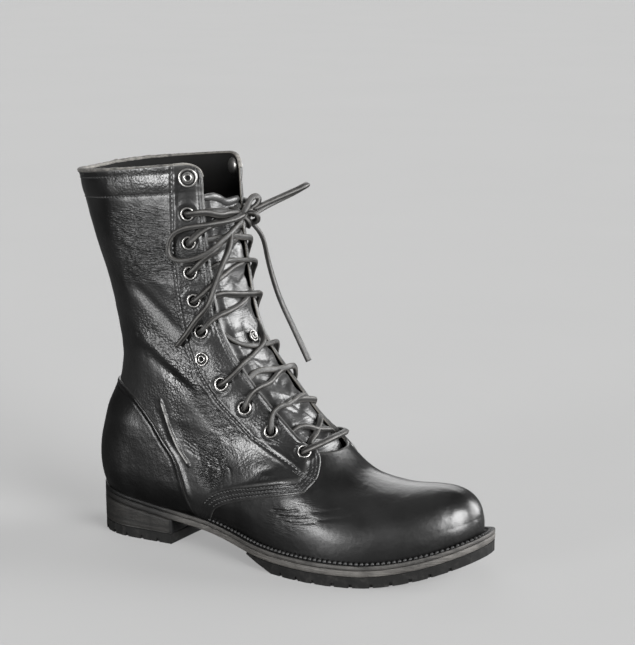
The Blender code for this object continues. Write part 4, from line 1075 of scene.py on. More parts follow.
def build_tongue():
    share = np.linspace(0.0, 1.0, 220)[:, None]
    across = np.linspace(-1.0, 1.0, 131)
    y = TONGUE_HALF * across[None, :] * np.ones_like(share)
    v = TONGUE_LOW + (tongue_top(y) - 0.1 - TONGUE_LOW) * share
    tuck = 3.4 * smooth(19.0, 25.0, np.abs(y))
    depth = tongue_depth(y) + tuck
    points = shaft_point(y, v, depth).reshape(-1, 3)
    flat_y, flat_v = y.ravel(), v.ravel()
    height = np.zeros(len(points))
    for rise, width, line in TONGUE_CREASES:
        fine = resample(np.array(line) * TONGUE_SCALE, 3.0) / TONGUE_SCALE
        track = shaft_point(fine[:, 0], fine[:, 1], tongue_depth(fine[:, 0]))
        height += rise * bump(to_line(points, track), width)
    height += 0.9 * ripple(points, 22.0, 21) + 0.06 * ripple(points, 6.5, 22)
    stud = shaft_point(0.0, TONGUE_STUD, tongue_depth(0.0))
    away = np.linalg.norm(points - stud, axis=1)
    height += 0.30 * np.cos(2.0 * math.pi * away / 2.9) * smooth(15.0, 7.0, away) * smooth(4.0, 6.0, away)
    height *= smooth(29.0, 22.0, np.abs(flat_y)) * smooth(4.5, 9.0, away)
    front = points + normal(u_at(flat_y, flat_v), flat_v) * height[:, None]
    mesh_piece("tongue_skin", front, grid_faces(*y.shape), TONGUE_LOOK, ["tongue"], "black_leather",
               {"pebble": 0.10 + 0.0 * flat_v, "hatch": 0.0 * flat_v, "lines": 0.18 + 0.0 * flat_v})
    back = shaft_point(y[::3, ::3], v[::3, ::3], (depth + 2.4)[::3, ::3])
    mesh_piece("tongue_back", back.reshape(-1, 3), grid_faces(*back.shape[:2])[:, ::-1], LINING_LOOK,
               slot="black_leather", masks={"wear_and_sheen": np.zeros(back.shape[0] * back.shape[1])})
    build_tongue_roll()


def build_tongue_roll():
    """Padded band rolled over the top of the tongue."""
    span = np.linspace(-25.5, 25.5, 61)
    centre = shaft_point(span, tongue_top(span) - 0.06, tongue_depth(span) + 1.2)
    radius = 2.3 * np.sqrt(np.clip(1.0 - (span / 26.0) ** 8, 0.05, 1.0))
    grid, _ = tube(centre, radius, 1.25 * radius, 20)
    grid = grid + 0.07 * ripple(grid.reshape(-1, 3), 9.0, 31).reshape(*grid.shape[:2], 1)
    count = grid.shape[0] * grid.shape[1]
    mesh_piece("tongue_roll", grid.reshape(-1, 3), grid_faces(*grid.shape[:2], closed=True), TONGUE_LOOK,
               slot="black_leather",
               masks={"pebble": np.full(count, 0.1), "wear_and_sheen": np.full(count, 0.01)})


# --- metal ---------------------------------------------------------------------------------------
TURN_STEPS = 40


class Batch:
    """Collects points and faces of many small things into one piece."""

    def __init__(self):
        self.points, self.faces, self.count = [], [], 0

    def add(self, points, faces):
        self.points.append(np.asarray(points, float))
        self.faces.extend(tuple(int(i) + self.count for i in f) for f in faces)
        self.count += len(points)

    def piece(self, name, look, **facts):
        return mesh_piece(name, np.concatenate(self.points), self.faces, look, **facts)


def turned(batch, centre, axis, profile):
    """Turns an open profile of (radius, height) about an axis."""
    axis = unit(axis)
    first = unit(np.cross(axis, (0.0, 0.0, 1.0)))
    second = np.cross(axis, first)
    angles = 2.0 * math.pi * np.arange(TURN_STEPS) / TURN_STEPS
    ring = np.cos(angles)[:, None] * first + np.sin(angles)[:, None] * second
    rows = [np.asarray(centre) + axis * height + ring * max(radius, 0.02) for radius, height in profile]
    batch.add(np.concatenate(rows), grid_faces(len(rows), TURN_STEPS, closed=True))


def rounded(profile):
    """Smooths a coarse profile by cutting its corners twice."""
    line = np.asarray(profile, float)
    for _ in range(2):
        near = line[:-1] * 0.75 + line[1:] * 0.25
        far = line[:-1] * 0.25 + line[1:] * 0.75
        line = np.concatenate([line[:1], np.stack([near, far], 1).reshape(-1, line.shape[1]), line[-1:]])
    return line


def facing_place(v, half, side):
    """Seat of a fitting on the quarters' relief, and the way it faces."""
    u = float(edge_u(v, side, half))
    rows = v + np.array((-0.35, 0.35))
    seats = np.array([float(edge_u(row, side, half)) for row in rows])
    rise = float(np.mean(quarter_height(surface(seats, rows), seats, rows)))
    return surface(u, v) + normal(u, v) * max(rise, 0.0), normal(u, v)


EYELET_PROFILE = (         # radius, height, tarnish
    (4.8, -1.6, 0.6), (4.9, 0.35, 0.2), (4.65, 0.85, 0.0), (4.2, 1.05, 0.0), (3.7, 0.9, 0.0),
    (3.45, 0.4, 0.6),
    (3.35, -0.4, 1.0), (3.3, -2.8, 1.0))
SOCKET_PROFILE = (
    (6.6, -0.2, 0.9), (6.75, 0.7, 0.1), (6.4, 1.45, 0.0), (5.75, 1.6, 0.0), (5.2, 1.3, 0.2), (4.9, 0.5, 1.0),
    (4.6, 0.2, 1.0), (4.2, 0.4, 0.9), (3.6, 0.5, 0.7), (3.2, 0.6, 0.6), (2.9, 1.2, 0.0), (2.3, 1.5, 0.0),
    (1.8, 1.2, 0.2), (1.5, 0.4, 1.0), (0.8, 0.3, 1.0), (0.0, 0.3, 1.0))
CAP_PROFILE = (
    (6.0, -0.2, 0.4), (6.05, 0.5, 0.0), (5.4, 1.3, 0.0), (4.0, 2.0, 0.0), (2.0, 2.4, 0.0), (0.0, 2.5, 0.0))
STUD_PROFILE = (
    (4.6, -0.2, 0.9), (4.8, 0.6, 0.1), (4.45, 1.3, 0.0), (4.0, 1.4, 0.0), (3.6, 1.1, 0.3), (3.35, 0.4, 1.0),
    (2.9, 0.3, 1.0), (2.65, 0.9, 0.3), (2.35, 1.6, 0.0), (1.95, 1.75, 0.0), (1.6, 1.5, 0.2), (1.4, 0.5, 1.0),
    (0.7, 0.3, 1.0), (0.0, 0.3, 1.0))


def fitting(batch, tarnish, centre, axis, profile, scale=1.0):
    """Turns a profile about an axis and keeps how tarnished each of its rings is."""
    line = rounded(profile)
    turned(batch, centre, axis, [(radius * scale, height) for radius, height, _ in line])
    tarnish.append(np.repeat(line[:, 2], TURN_STEPS))


SOCKET_LIFT = 0.2          # seats of the fittings over the leather
STUD_LIFT = 0.15
TONGUE_STUD_LIFT = 1.2
TONGUE_STUD_SCALE = 0.92


def build_metal():
    """Eyelets, snap sockets with their caps, and ring studs."""
    names = {
        "eyelets": [f"eyelet_{side}_{k}" for side in ("outer", "inner") for k in range(1, len(EYELETS) + 1)],
        "snap_sockets": ["snap_socket_outer", "snap_socket_inner"],
        "snap_caps": ["snap_cap_outer", "snap_cap_inner"],
        "ring_studs": ["ring_stud_outer", "ring_stud_inner", "ring_stud_tongue"]}
    batches = {name: Batch() for name in names}
    tarnish = {name: [] for name in names}
    for side in SIDES:
        for v, half in EYELETS:
            centre, axis = facing_place(v, half, side)
            fitting(batches["eyelets"], tarnish["eyelets"], centre, axis, EYELET_PROFILE)
        centre, axis = facing_place(*SNAP, side)
        fitting(batches["snap_sockets"], tarnish["snap_sockets"], centre + axis * SOCKET_LIFT, axis,
                SOCKET_PROFILE)
        fitting(batches["snap_caps"], tarnish["snap_caps"], centre - axis * WALL, -axis, CAP_PROFILE)
        centre, axis = facing_place(*STUD, side)
        fitting(batches["ring_studs"], tarnish["ring_studs"], centre + axis * STUD_LIFT, axis, STUD_PROFILE)
    axis = normal(0.0, TONGUE_STUD)
    centre = surface(0.0, TONGUE_STUD) - axis * (tongue_depth(0.0) - 0.9)
    fitting(batches["ring_studs"], tarnish["ring_studs"], centre + axis * TONGUE_STUD_LIFT, axis, STUD_PROFILE,
            TONGUE_STUD_SCALE)
    for name, batch in batches.items():
        batch.piece(name, NICKEL_LOOK, replaces=names[name], slot="dark_nickel",
                    masks={"tarnish": np.concatenate(tarnish[name])})


# --- stitches ------------------------------------------------------------------------------------
STITCH_SIDES = 6
STITCH_RINGS = (           # share of the length, relative size, rise
    (0.0, 0.35, -0.35), (0.15, 0.85, 0.0), (0.5, 1.0, 0.14), (0.85, 0.85, 0.0), (1.0, 0.35, -0.35))
HOLE_SIDES = 8
HOLE_DEPTH = 0.3
BAR_TACK = ((0.131, 6.74), (0.124, 6.52), (0.116, 6.30))      # u, v


def circle_of(first, second, count):
    """Points of a circle of radius 1 in the plane of two directions."""
    angles = 2.0 * math.pi * np.arange(count) / count
    return np.cos(angles)[:, None] * first + np.sin(angles)[:, None] * second

def stitch(batch, start, end, out, thick):
    """One raised stitch, tapered into the leather at both ends."""
    along = end - start
    length = np.linalg.norm(along)
    along = along / length
    circle = circle_of(unit(np.cross(out, along)), out, STITCH_SIDES)
    rows = []
    for share, size, rise in STITCH_RINGS:
        centre = start + along * length * share + out * rise * thick
        rows.append(centre + thick / 2.0 * size * circle)
    batch.add(np.concatenate(rows), grid_faces(len(rows), STITCH_SIDES, closed=True))


def needle_hole(batch, centre, out, size):
    """Small dark pit, drawn as a shallow cone."""
    first = unit(np.cross(out, (0.3, 0.2, 1.0)))
    ring = centre + size * circle_of(first, np.cross(out, first), HOLE_SIDES)
    faces = [(k, (k + 1) % HOLE_SIDES, HOLE_SIDES) for k in range(HOLE_SIDES)]
    batch.add(np.concatenate([ring, [centre - out * HOLE_DEPTH]]), faces)


def stitch_row(batch, line, outs, pitch, thick, share=0.66, holes=None, hole_size=0.62):
    """Stitches of one length along a line of points with their normals, and the holes between."""
    run = run_along(line)
    count = int(run[-1] / pitch)

    def at(table, distance):
        return np.array([np.interp(distance, run, table[:, j]) for j in range(3)])

    for k in range(count):
        out = unit(at(outs, (k + 0.4) * pitch))
        stitch(batch, at(line, k * pitch), at(line, (k + share) * pitch), out, thick)
        if holes is not None:
            needle_hole(holes, at(line, (k + (1.0 + share) / 2.0) * pitch) + out * 0.06, out, hole_size)


def skin_row(route, lift):
    """Line on the quarters' own relief through given (u, v) points."""
    fine = resample(np.asarray(route, float) * SKIN_SCALE, 0.8) / SKIN_SCALE
    u, v = fine[:, 0], fine[:, 1]
    points = surface(u, v)
    out = normal(u, v)
    return points + out * (quarter_height(points, u, v) + lift)[:, None], out


def offset_route(side, inset, low, high):
    """(u, v) points of a line that keeps a distance in from the quarters' front edge."""
    rows = np.linspace(low, high, 120)
    u = edge_columns(side, rows, (inset,))[:, 0]
    return np.stack([u, rows], axis=1)


def build_stitches():
    threads, dark_threads, holes = Batch(), Batch(), Batch()
    for side in SIDES:
        stay = [(mirrored(u, side), v) for v, u in EYESTAY]
        plain = [offset_route(side, inset, 1.2, 7.1) for inset in SEAM_ROWS]
        plain.append(offset_route(side, BEAD_WIDTH + 0.7, 7.9, 14.2))
        around = mirrored(np.linspace(0.168, 0.494, 30), side)
        plain += [[(u, level) for u in around] for level in BAND_ROWS]
        plain.append([(0.5 + side * 0.006, v) for v in np.linspace(8.6, 14.9, 20)])
        stitch_row(threads, *skin_row(stay, 0.12), 3.2, 0.95, 0.55, holes, 0.85)
        for route in plain:
            stitch_row(dark_threads, *skin_row(route, 0.10), 3.0, 0.80, 0.6, holes, 0.85)
        for shift in (-0.010, -0.005, 0.0):
            tack = [(mirrored(u + shift, side), v) for u, v in BAR_TACK]
            stitch_row(dark_threads, *skin_row(tack, 0.12), 1.9, 1.1, 0.7, holes, 0.7)
    threads.piece("eyestay_stitches", THREAD_LOOK, slot="black_leather")
    dark_threads.piece("upper_stitches", DARK_THREAD_LOOK, slot="black_leather")
    holes.piece("needle_holes", HOLE_LOOK, slot="black_leather")


# --- sole ----------------------------------------------------------------------------------------
SOLE_POINTS = 480
CORE_INSET = 1.6           # the rubber cores lie this far inside the grooves of the edge


def sole_outline(inset=0.0, count=SOLE_POINTS):
    """Plan of the welt's outer edge, less the inset."""
    u = (np.arange(count) + 0.5) / count
    flat = surface(u, 0.0)[:, :2]
    direction = surface(u + 0.001, 0.0)[:, :2] - surface(u - 0.001, 0.0)[:, :2]
    out = np.stack([direction[:, 1], -direction[:, 0]], axis=1)
    out = out / np.linalg.norm(out, axis=1, keepdims=True)
    middle = np.array([150.0, 0.0])
    if np.sum(out[0] * (flat[0] - middle)) < 0.0:
        out = -out
    width = WELT_HEEL + (WELT_FRONT - WELT_HEEL) * smooth(60.0, 150.0, flat[:, 0])
    return flat + out * (width - inset)[:, None]


def welt_bottom(x):
    return welt_top(x) - WELT_THICK


def midsole_top(x):
    return welt_bottom(x) - GAP


def midsole_bottom(x):
    return midsole_top(x) - MIDSOLE_THICK


def raised(height, rise):
    """A height function, moved up."""
    return lambda x: height(x) + rise


WELT_SECTION = (           # inset, height function
    (WELT_INSIDE + 3.0, welt_bottom), (0.5, welt_bottom), (0.0, raised(welt_bottom, 0.4)),
    (0.0, raised(welt_top, -0.7)), (0.25, raised(welt_top, -0.2)), (0.8, welt_top),
    (2.4, raised(welt_top, -0.1)), (WELT_INSIDE + 3.0, raised(welt_top, -0.1)))
MIDSOLE_SECTION = (
    (0.6, midsole_bottom), (0.1, raised(midsole_bottom, 0.4)), (0.0, raised(midsole_bottom, 1.2)),
    (0.0, raised(midsole_top, -0.8)), (0.15, raised(midsole_top, -0.2)), (0.6, midsole_top))


def ring_band(name, profile, look, replaces, capped, painted_shade_from=math.inf):
    """Closed band round the sole from rows of (inset, height); rows further in than the given inset, and the
    band round the heel, get near-black painted shade.
    """
    loops = []
    for inset, height in profile:
        flat = sole_outline(inset)
        loops.append(np.column_stack([flat, height(flat[:, 0])]))
    count = len(loops[0])
    faces = grid_faces(len(loops), count, closed=True).tolist()
    half = count // 2
    if capped:
        for base, turn in ((0, 1), ((len(loops) - 1) * count, -1)):
            for i in range(half - 1):
                quad = (base + i, base + i + 1, base + count - 2 - i, base + count - 1 - i)
                faces.append(quad[::turn])
    else:
        last = (len(loops) - 1) * count
        faces += [(last + i, last + (i + 1) % count, (i + 1) % count, i) for i in range(count)]
    points = np.concatenate(loops)
    # Painted shade: near-black on the rows further in, and round the heel behind x 60 to 88.
    dark = np.repeat([float(inset > painted_shade_from) for inset, _ in profile], count)
    masks = {"heel": np.maximum(smooth(88.0, 60.0, points[:, 0]), dark)}
    mesh_piece(name, points, faces, look, replaces, "sole_leather", masks)


def build_sole():
    # From 0.7 mm in, the welt's top face gets painted shade.
    ring_band("welt_strip", WELT_SECTION, WELT_LOOK, ["welt"], False, 0.7)
    ring_band("midsole_layer", MIDSOLE_SECTION, MIDSOLE_LOOK, ["midsole"], True)
    build_stack()
    for name in ("outsole", "heel_toplift"):
        dress(name, RUBBER_LOOK)
    dress("insole", INSOLE_LOOK)


def dress(name, look):
    """Gives a CAD node that keeps its shape a better material."""
    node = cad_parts[name]
    for place_of in node.material_slots:
        place_of.material = look


def build_stack():
    """Heel stack: leather lifts with a softened outline and a faintly hollow breast."""
    loops = []
    levels = 13
    for k in range(levels):
        share = k / (levels - 1)
        inset = 0.35 * (1.0 - share) + (0.5 if k in (0, levels - 1) else 0.0)
        flat = sole_outline(inset)
        inside = flat[:, 0] < HEEL_BREAST
        ring = flat[inside]
        first, last = ring[0], ring[-1]
        width = np.linspace(0.0, 1.0, 26)[1:-1]
        hollow = HEEL_BREAST - 1.4 * np.sin(math.pi * width)
        breast = np.stack([hollow, last[1] + (first[1] - last[1]) * width], axis=1)
        ring = np.concatenate([ring, breast])
        low = TOPLIFT_THICK + GAP
        high = midsole_bottom(ring[:, 0]) - GAP
        loops.append(np.column_stack([ring, low + (high - low) * share]))
    count = min(len(loop) for loop in loops)
    loops = [loop[:count] for loop in loops]
    faces = grid_faces(len(loops), count, closed=True).tolist()
    for base in (0, (len(loops) - 1) * count):
        faces.append(tuple(range(base, base + count)))
    points = np.concatenate(loops)
    # The heel mask paints near-black shade on the breast face.
    mesh_piece("heel_lifts", points, faces, STACK_LOOK, ["heel_stack"], "sole_leather",
               {"heel": smooth(HEEL_BREAST - 1.6, HEEL_BREAST - 0.8, points[:, 0])})


def outsole_bottom(x):
    feathered = midsole_bottom(OUTSOLE_START) - GAP - 1.0
    wedge = feathered * np.clip((TREAD_START - x) / (TREAD_START - OUTSOLE_START), 0.0, 1.0)
    return wedge + toe_spring(x)


def build_groove_cores():
    """Rubber a little way inside the grooves of the sole's edge."""
    batch = Batch()
    edge_x = sole_outline(CORE_INSET)[:, 0]
    half_sole = (edge_x > TREAD_START + 2.0, outsole_bottom)
    top_lift = (edge_x < HEEL_BREAST - 4.0, np.zeros_like)
    for kept, bottom in (half_sole, top_lift):
        first = int(np.argmax(~kept))
        rows = []
        for inset, rise in ((CORE_INSET, 0.2), (CORE_INSET, 3.2), (3.0, 3.2), (3.0, 0.2)):
            flat = sole_outline(inset)
            flat = np.roll(flat, -first, axis=0)[np.roll(kept, -first)]
            rows.append(np.column_stack([flat, bottom(flat[:, 0]) + rise]))
        batch.add(np.concatenate(rows), grid_faces(4, len(rows[0])))
    batch.piece("groove_cores", RUBBER_LOOK, slot="black_rubber")


def build_welt_stitches():
    batch = Batch()
    flat = sole_outline(4.3, 720)
    line = np.column_stack([flat, welt_top(flat[:, 0]) + 0.05])
    front = line[:, 0] > 96.0
    first = int(np.argmax(~front))
    order = np.roll(np.arange(len(line)), -first)
    kept = line[order][front[order]]
    outs = np.tile((0.0, 0.0, 1.0), (len(kept), 1))
    holes = Batch()
    stitch_row(batch, kept, outs, 3.6, 2.2, 0.74, holes, 1.1)
    batch.piece("welt_stitches", WELT_THREAD_LOOK, slot="sole_leather")
    holes.piece("welt_holes", HOLE_LOOK, slot="sole_leather")


# --- lace ----------------------------------------------------------------------------------------
LACE_WIDE = 4.3
LACE_DEEP = 3.2
LACE_LIFT = LACE_DEEP / 2.0 + 0.5          # centre of the lace over the tongue
FACING_LIFT = LACE_DEEP / 2.0 + 0.95       # and over the facings' rolled edge
CROSS_LIFT = 3.0                           # how far one strand rises over another
CROSS_WIDTH = 7.0
LACE_SIDES = 16
LACE_SQUARENESS = 3.6

# Each strand runs from its own eyelet to the next one up on the other side.  Its points are the
# distance from the middle, below zero once it is past it, and the ring.
STRANDS = {
    -1: {
        2: ((32.1, 12.98), (28.6, 13.20), (24.0, 13.35), (10.0, 13.48), (-10.0, 13.60), (-22.0, 13.68)),
        3: ((32.6, 12.25), (29.6, 12.45), (24.0, 12.68), (10.0, 12.82), (-10.0, 12.92), (-22.0, 12.96)),
        4: ((32.5, 11.61), (29.0, 11.80), (25.0, 11.97), (16.0, 12.14), (4.0, 12.24), (-10.0, 12.27),
            (-22.0, 12.26)),
        5: ((32.3, 10.85), (28.0, 11.14), (22.0, 11.28), (10.0, 11.38), (-7.0, 11.48), (-22.0, 11.58)),
        6: ((33.9, 9.29), (30.0, 9.58), (25.0, 9.86), (18.0, 10.10), (6.0, 10.32), (-5.0, 10.44),
            (-14.0, 10.60),
            (-22.0, 10.84)),
        7: ((33.0, 8.57), (30.6, 8.86), (26.0, 9.16), (18.0, 9.38), (7.0, 9.58), (-8.0, 9.66), (-22.0, 9.48)),
        8: ((31.8, 7.93), (28.6, 8.32), (23.0, 8.66), (14.0, 8.86), (4.0, 8.98), (-6.0, 9.00), (-15.0, 8.90),
            (-22.0, 8.74))},
    1: {
        2: ((32.1, 12.98), (28.0, 13.22), (24.0, 13.38), (6.0, 13.55), (-10.0, 13.66), (-22.0, 13.72)),
        3: ((32.6, 12.25), (28.0, 12.52), (24.4, 12.74), (14.0, 12.88), (3.0, 12.97), (-12.0, 13.00),
            (-22.0, 13.00)),
        4: ((32.5, 11.61), (28.0, 11.95), (24.4, 12.16), (14.0, 12.32), (0.0, 12.40), (-12.0, 12.42),
            (-22.0, 12.36)),
        5: ((32.3, 10.85), (27.8, 11.22), (24.0, 11.42), (14.0, 11.54), (5.0, 11.60), (-12.0, 11.66),
            (-23.0, 11.68)),
        6: ((33.9, 9.29), (28.6, 9.80), (23.6, 10.12), (14.0, 10.32), (5.0, 10.42), (-8.0, 10.44),
            (-22.0, 10.58)),
        7: ((33.0, 8.57), (27.6, 9.06), (22.6, 9.40), (14.0, 9.62), (3.0, 9.78), (-10.0, 9.80),
            (-22.0, 9.66)),
        8: ((31.8, 7.93), (26.0, 8.34), (19.5, 8.66), (9.0, 8.92), (-2.0, 9.00), (-13.0, 8.90),
            (-22.0, 8.72))}}
LOWEST = ((21.0, 7.72), (14.0, 7.95), (0.0, 8.18), (-12.0, 8.26), (-22.0, 8.14))
OVER = {-1: (6, 8), 1: (2, 3, 4, 5, 7)}    # the strands that pass over the other one of their pair
BAR = ((26.0, 7.50), (18.0, 7.64), (8.0, 7.74), (0.0, 7.76))


def lace_profile():
    """Rounded square cross-section, with a mask that is 1 at its corners."""
    angles = 2.0 * math.pi * (np.arange(LACE_SIDES) + 0.5) / LACE_SIDES
    power = LACE_SQUARENESS
    size = (np.abs(np.cos(angles)) ** power + np.abs(np.sin(angles)) ** power) ** (-1.0 / power)
    flat = np.stack([np.cos(angles) * size * LACE_WIDE, np.sin(angles) * size * LACE_DEEP], axis=1) / 2.0
    return flat, smooth(1.04, 1.16, size)


def sweep(batch, path, twist, edges):
    """Sweeps the lace's section along a path, turning it slowly."""
    profile, corner = lace_profile()
    path = np.asarray(path, float)
    along = np.gradient(path, axis=0)
    along /= np.linalg.norm(along, axis=1, keepdims=True)
    side = np.cross(along[0], (0.3, 0.2, 1.0))
    side /= np.linalg.norm(side)
    rows = []
    for i, (centre, direction) in enumerate(zip(path, along)):
        side = side - direction * (side @ direction)
        side /= np.linalg.norm(side)
        up = np.cross(direction, side)
        turn = twist * i / len(path)
        a = math.cos(turn) * side + math.sin(turn) * up
        b = -math.sin(turn) * side + math.cos(turn) * up
        rows.append(centre + profile[:, :1] * a + profile[:, 1:] * b)
    count = len(profile)
    faces = grid_faces(len(rows), count, closed=True).tolist()
    faces.append(tuple(range(count))[::-1])
    faces.append(tuple(range((len(rows) - 1) * count, len(rows) * count)))
    batch.add(np.concatenate(rows), faces)
    edges.append(np.tile(corner, len(rows)))


def lace_piece(name, paths, twist, replaces):
    """One piece of lace, swept along each of its paths."""
    batch, edges = Batch(), []
    for path in paths:
        sweep(batch, path, twist, edges)
    return batch.piece(name, LACE_LOOK, replaces=replaces, slot="lace_leather",
                       masks={"edge": np.concatenate(edges)})


def ring_at(side, number, y):
    """Ring of a strand at a signed distance from the middle."""
    route = np.array(STRANDS[side][number])[::-side]
    return np.interp(y, side * route[:, 0], route[:, 1])


def meeting(number):
    """Where the two strands of a pair cross, as a signed distance from the middle."""
    y = np.linspace(-16.0, 16.0, 65)
    apart = np.abs(ring_at(-1, number, y) - ring_at(1, number, y)) + 0.004 * np.abs(y)
    return float(y[np.argmin(apart)])


def strand(side, number):
    """Points of one strand, from over its own facing to under the other."""
    cross = meeting(number)
    points = []
    for s, v in STRANDS[side][number][1:]:
        over = float(smooth(19.0, 24.0, s))
        tuck = 3.3 * float(smooth(-18.0, -23.0, s))
        depth = (tongue_depth(s) + tuck - LACE_LIFT) * (1.0 - over) - FACING_LIFT * over
        if number in OVER[side]:
            depth -= CROSS_LIFT * float(bump(side * s - cross, CROSS_WIDTH))
        points.append(shaft_point(side * s, v, depth))
    return points


def through_eyelet(side, number, outward):
    v, half = EYELETS[number - 1]
    stops = ((half - 3.6, WALL + 3.2), (half + 0.3, WALL + 0.6), (half, -0.9))
    points = [shaft_point(side * away, v, depth) for away, depth in stops]
    return points if outward else points[::-1]


def full_lace(side):
    """One half of the lace, from the middle of the bottom bar up to its lead at the knot."""
    path = [shaft_point(side * s, v, -FACING_LIFT - 0.3) for s, v in BAR[::-1]]
    path += through_eyelet(side, 9, False)
    for s, v in LOWEST:
        tuck = 2.6 * float(smooth(17.0, 22.0, abs(s)))
        path.append(shaft_point(side * s, v, tongue_depth(s) + tuck - LACE_LIFT - 0.3 * (side > 0)))
    hand = -side
    for number in range(8, 1, -1):
        path += through_eyelet(hand, number, True)
        path += strand(hand, number)
        hand = -hand
    path += through_eyelet(hand, 1, True)
    path.append(shaft_point(hand * 24.5, EYELETS[0][0], -FACING_LIFT))
    path.extend(np.array(p) for p in (LEAD_OUTER if hand < 0 else LEAD_INNER))
    return even(path, 1.2)


def build_lace():
    nodes = [f"lace_cross_{k}" for k in range(1, 9)] + ["lace_bar", "lace_lead_outer", "lace_lead_inner"]
    for word, side, share in (("first", 1, nodes[:5]), ("second", -1, nodes[5:])):
        lace_piece(f"lace_{word}_half", [full_lace(side)], side * 3.0, share)


def cord_piece(name, route):
    line = even(route, 1.4)
    made = lace_piece(name + "_cord", [line], 1.0, [name])


KNOT_STRANDS = (           # x, y, z of the wraps
    ((92.6, 7.2, 234.5), (98.7, 5.8, 234.1), (105.5, 3.9, 232.4), (109.9, 4.5, 229.2), (111.1, 7.3, 225.8),
     (108.9, 10.1, 222.9)),
    ((107.8, 8.7, 229.9), (110.9, 7.5, 232.2), (114.1, 8.2, 232.5), (115.8, 9.8, 230.4), (114.6, 11.4, 227.3),
     (111.1, 11.9, 225.6)),
    ((105.8, 4.7, 227.4), (107.6, 5.1, 232.4), (108.4, 8.3, 236.9), (109.0, 11.9, 241.1),
     (110.5, 15.5, 243.0),
     (111.9, 18.3, 241.3), (111.5, 17.3, 237.9), (109.5, 13.1, 234.7), (105.7, 11.5, 231.8)),
    ((100.4, -3.5, 229.8), (103.5, -0.8, 229.0), (105.9, 2.5, 229.8), (107.9, 6.5, 232.6),
     (109.5, 11.9, 234.5)),
    ((104.0, 1.1, 226.0), (107.3, 1.6, 227.6), (108.9, 3.5, 229.9), (108.0, 8.3, 232.4),
     (104.4, 13.7, 234.6)))


def build_knot():
    """Wraps of the bow's knot."""
    return lace_piece("knot_wraps", [even(route, 0.8) for route in KNOT_STRANDS], 0.6, ["lace_knot"])


def build_bow():
    knot = build_knot()
    cord_piece("lace_loop_outer", LOOP_OUTER)
    cord_piece("lace_loop_inner", LOOP_INNER)
    cord_piece("lace_end_outer", END_OUTER)
    cord_piece("lace_end_inner", END_INNER)


# --- camera, floor and light ---------------------------------------------------------------------
FRAME_SIDE = 645.0         # long side of the picture
FOCAL = 1944.0             # in the same units
HORIZON_RISE = 381.0       # of the horizon over the optical centre
EYE = (794.5, -1129.5, 419.0)
HEADING = math.radians(28.97)
ROLL = math.radians(0.45)


def build_camera():
    pitch = math.atan(HORIZON_RISE / FOCAL)
    right = np.array((math.cos(HEADING), math.sin(HEADING), 0.0))
    level = np.array((-math.sin(HEADING), math.cos(HEADING), 0.0))
    up = np.array((0.0, 0.0, 1.0))
    forward = level * math.cos(pitch) - up * math.sin(pitch)
    upward = level * math.sin(pitch) + up * math.cos(pitch)
    side = right * math.cos(ROLL) + upward * math.sin(ROLL)
    top = -right * math.sin(ROLL) + upward * math.cos(ROLL)
    camera = bpy.data.objects.new("camera", bpy.data.cameras.new("camera"))
    bpy.context.scene.collection.objects.link(camera)
    axes = Matrix([[*row] for row in np.stack([side, top, -forward], axis=1)])
    camera.matrix_world = Matrix.Translation(place(EYE).tolist()) @ axes.to_4x4()
    camera.data.sensor_width = 36.0
    camera.data.lens = 36.0 * FOCAL / FRAME_SIDE
    camera.data.shift_y = -4.5 / FRAME_SIDE
    camera.data.clip_start = 0.05
    camera.data.clip_end = 30.0
    bpy.context.scene.camera = camera


def soft_light(name, azimuth, elevation, spread, strength):
    """Broad, even light from far off; azimuth 0 is the boot's outer side, and 90 is before its toe."""
    lamp = bpy.data.lights.new(name, "SUN")
    lamp.energy = strength
    lamp.angle = math.radians(spread)
    made = bpy.data.objects.new(name, lamp)
    bpy.context.scene.collection.objects.link(made)
    azimuth, elevation = math.radians(azimuth), math.radians(elevation)
    level = math.cos(elevation)
    back = np.array((level * math.sin(azimuth), -level * math.cos(azimuth), math.sin(elevation)))
    side = np.cross((0.0, 0.0, 1.0), back)
    side = side / np.linalg.norm(side)
    top = np.cross(back, side)
    made.matrix_world = Matrix(np.stack([side, top, back], axis=1).tolist()).to_4x4()


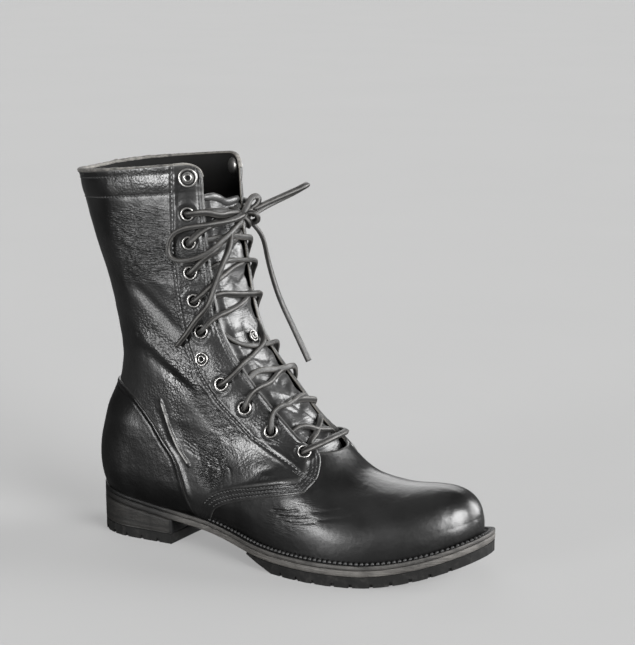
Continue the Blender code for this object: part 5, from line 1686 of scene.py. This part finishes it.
LIGHTS = (                 # name, azimuth, elevation, spread, strength
    ("window", 70.0, 17.0, 38.0, 9.5),
    ("far_window", 132.0, 14.0, 46.0, 8.0),
    ("near_window", -20.0, 5.0, 24.0, 4.0),
    ("low_window", -16.0, 2.5, 12.0, 1.8),
    ("back_window", 215.0, 28.0, 46.0, 1.4),
    ("above", -70.0, 75.0, 60.0, 0.3))


FLOOR_GLOW = 0.31          # evens out the pale floor
ROOM_LIGHT = 0.05          # what the dim room sheds on the boot
BACKDROP = 0.70            # and how pale it looks


def build_stage():
    n = Nodes("floor_look")
    seen = n.add("ShaderNodeLightPath").outputs["Is Camera Ray"]
    tone = n.mix(n.noise(400.0, 4.0, 0.6), (0.13, 0.13, 0.13), (0.145, 0.145, 0.144))
    tone = n.mix(seen, (0.045, 0.045, 0.045), tone)
    n.finish(tone, 1.0, n.bump(n.noise(2.0, 4.0, 0.6), 0.05, 0.3), emission_color=(1.0, 1.0, 1.0, 1.0),
             specular_ior_level=0.0)
    n.link(n.ramp(seen, 0.0, 1.0, 0.01, FLOOR_GLOW), n.shader.inputs["Emission Strength"])
    data = bpy.data.meshes.new("floor")
    half = 40.0
    corners = [(-half, -half, 0.0), (half, -half, 0.0), (half, half, 0.0), (-half, half, 0.0)]
    data.from_pydata(corners, [], [(0, 1, 2, 3)])
    data.materials.append(n.material)
    floor = bpy.data.objects.new("floor", data)
    bpy.context.scene.collection.objects.link(floor)
    world = bpy.data.worlds.new("studio")
    world.use_nodes = True
    tree = world.node_tree
    backdrop = tree.nodes["Background"]
    backdrop.inputs["Color"].default_value = (0.93, 0.93, 0.93, 1.0)
    rays = tree.nodes.new("ShaderNodeLightPath")
    level = tree.nodes.new("ShaderNodeMapRange")
    level.inputs["To Min"].default_value = ROOM_LIGHT
    level.inputs["To Max"].default_value = BACKDROP
    tree.links.new(rays.outputs["Is Camera Ray"], level.inputs["Value"])
    tree.links.new(level.outputs["Result"], backdrop.inputs["Strength"])
    bpy.context.scene.world = world
    bpy.context.scene.view_settings.view_transform = "Standard"
    for row in LIGHTS:
        soft_light(*row)


def main():
    build_vamp()
    build_quarters()
    build_lining()
    build_collar_edge()
    build_counter()
    build_tongue()
    build_metal()
    build_stitches()
    build_sole()
    build_groove_cores()
    build_welt_stitches()
    build_lace()
    build_bow()
    build_camera()
    build_stage()


main()
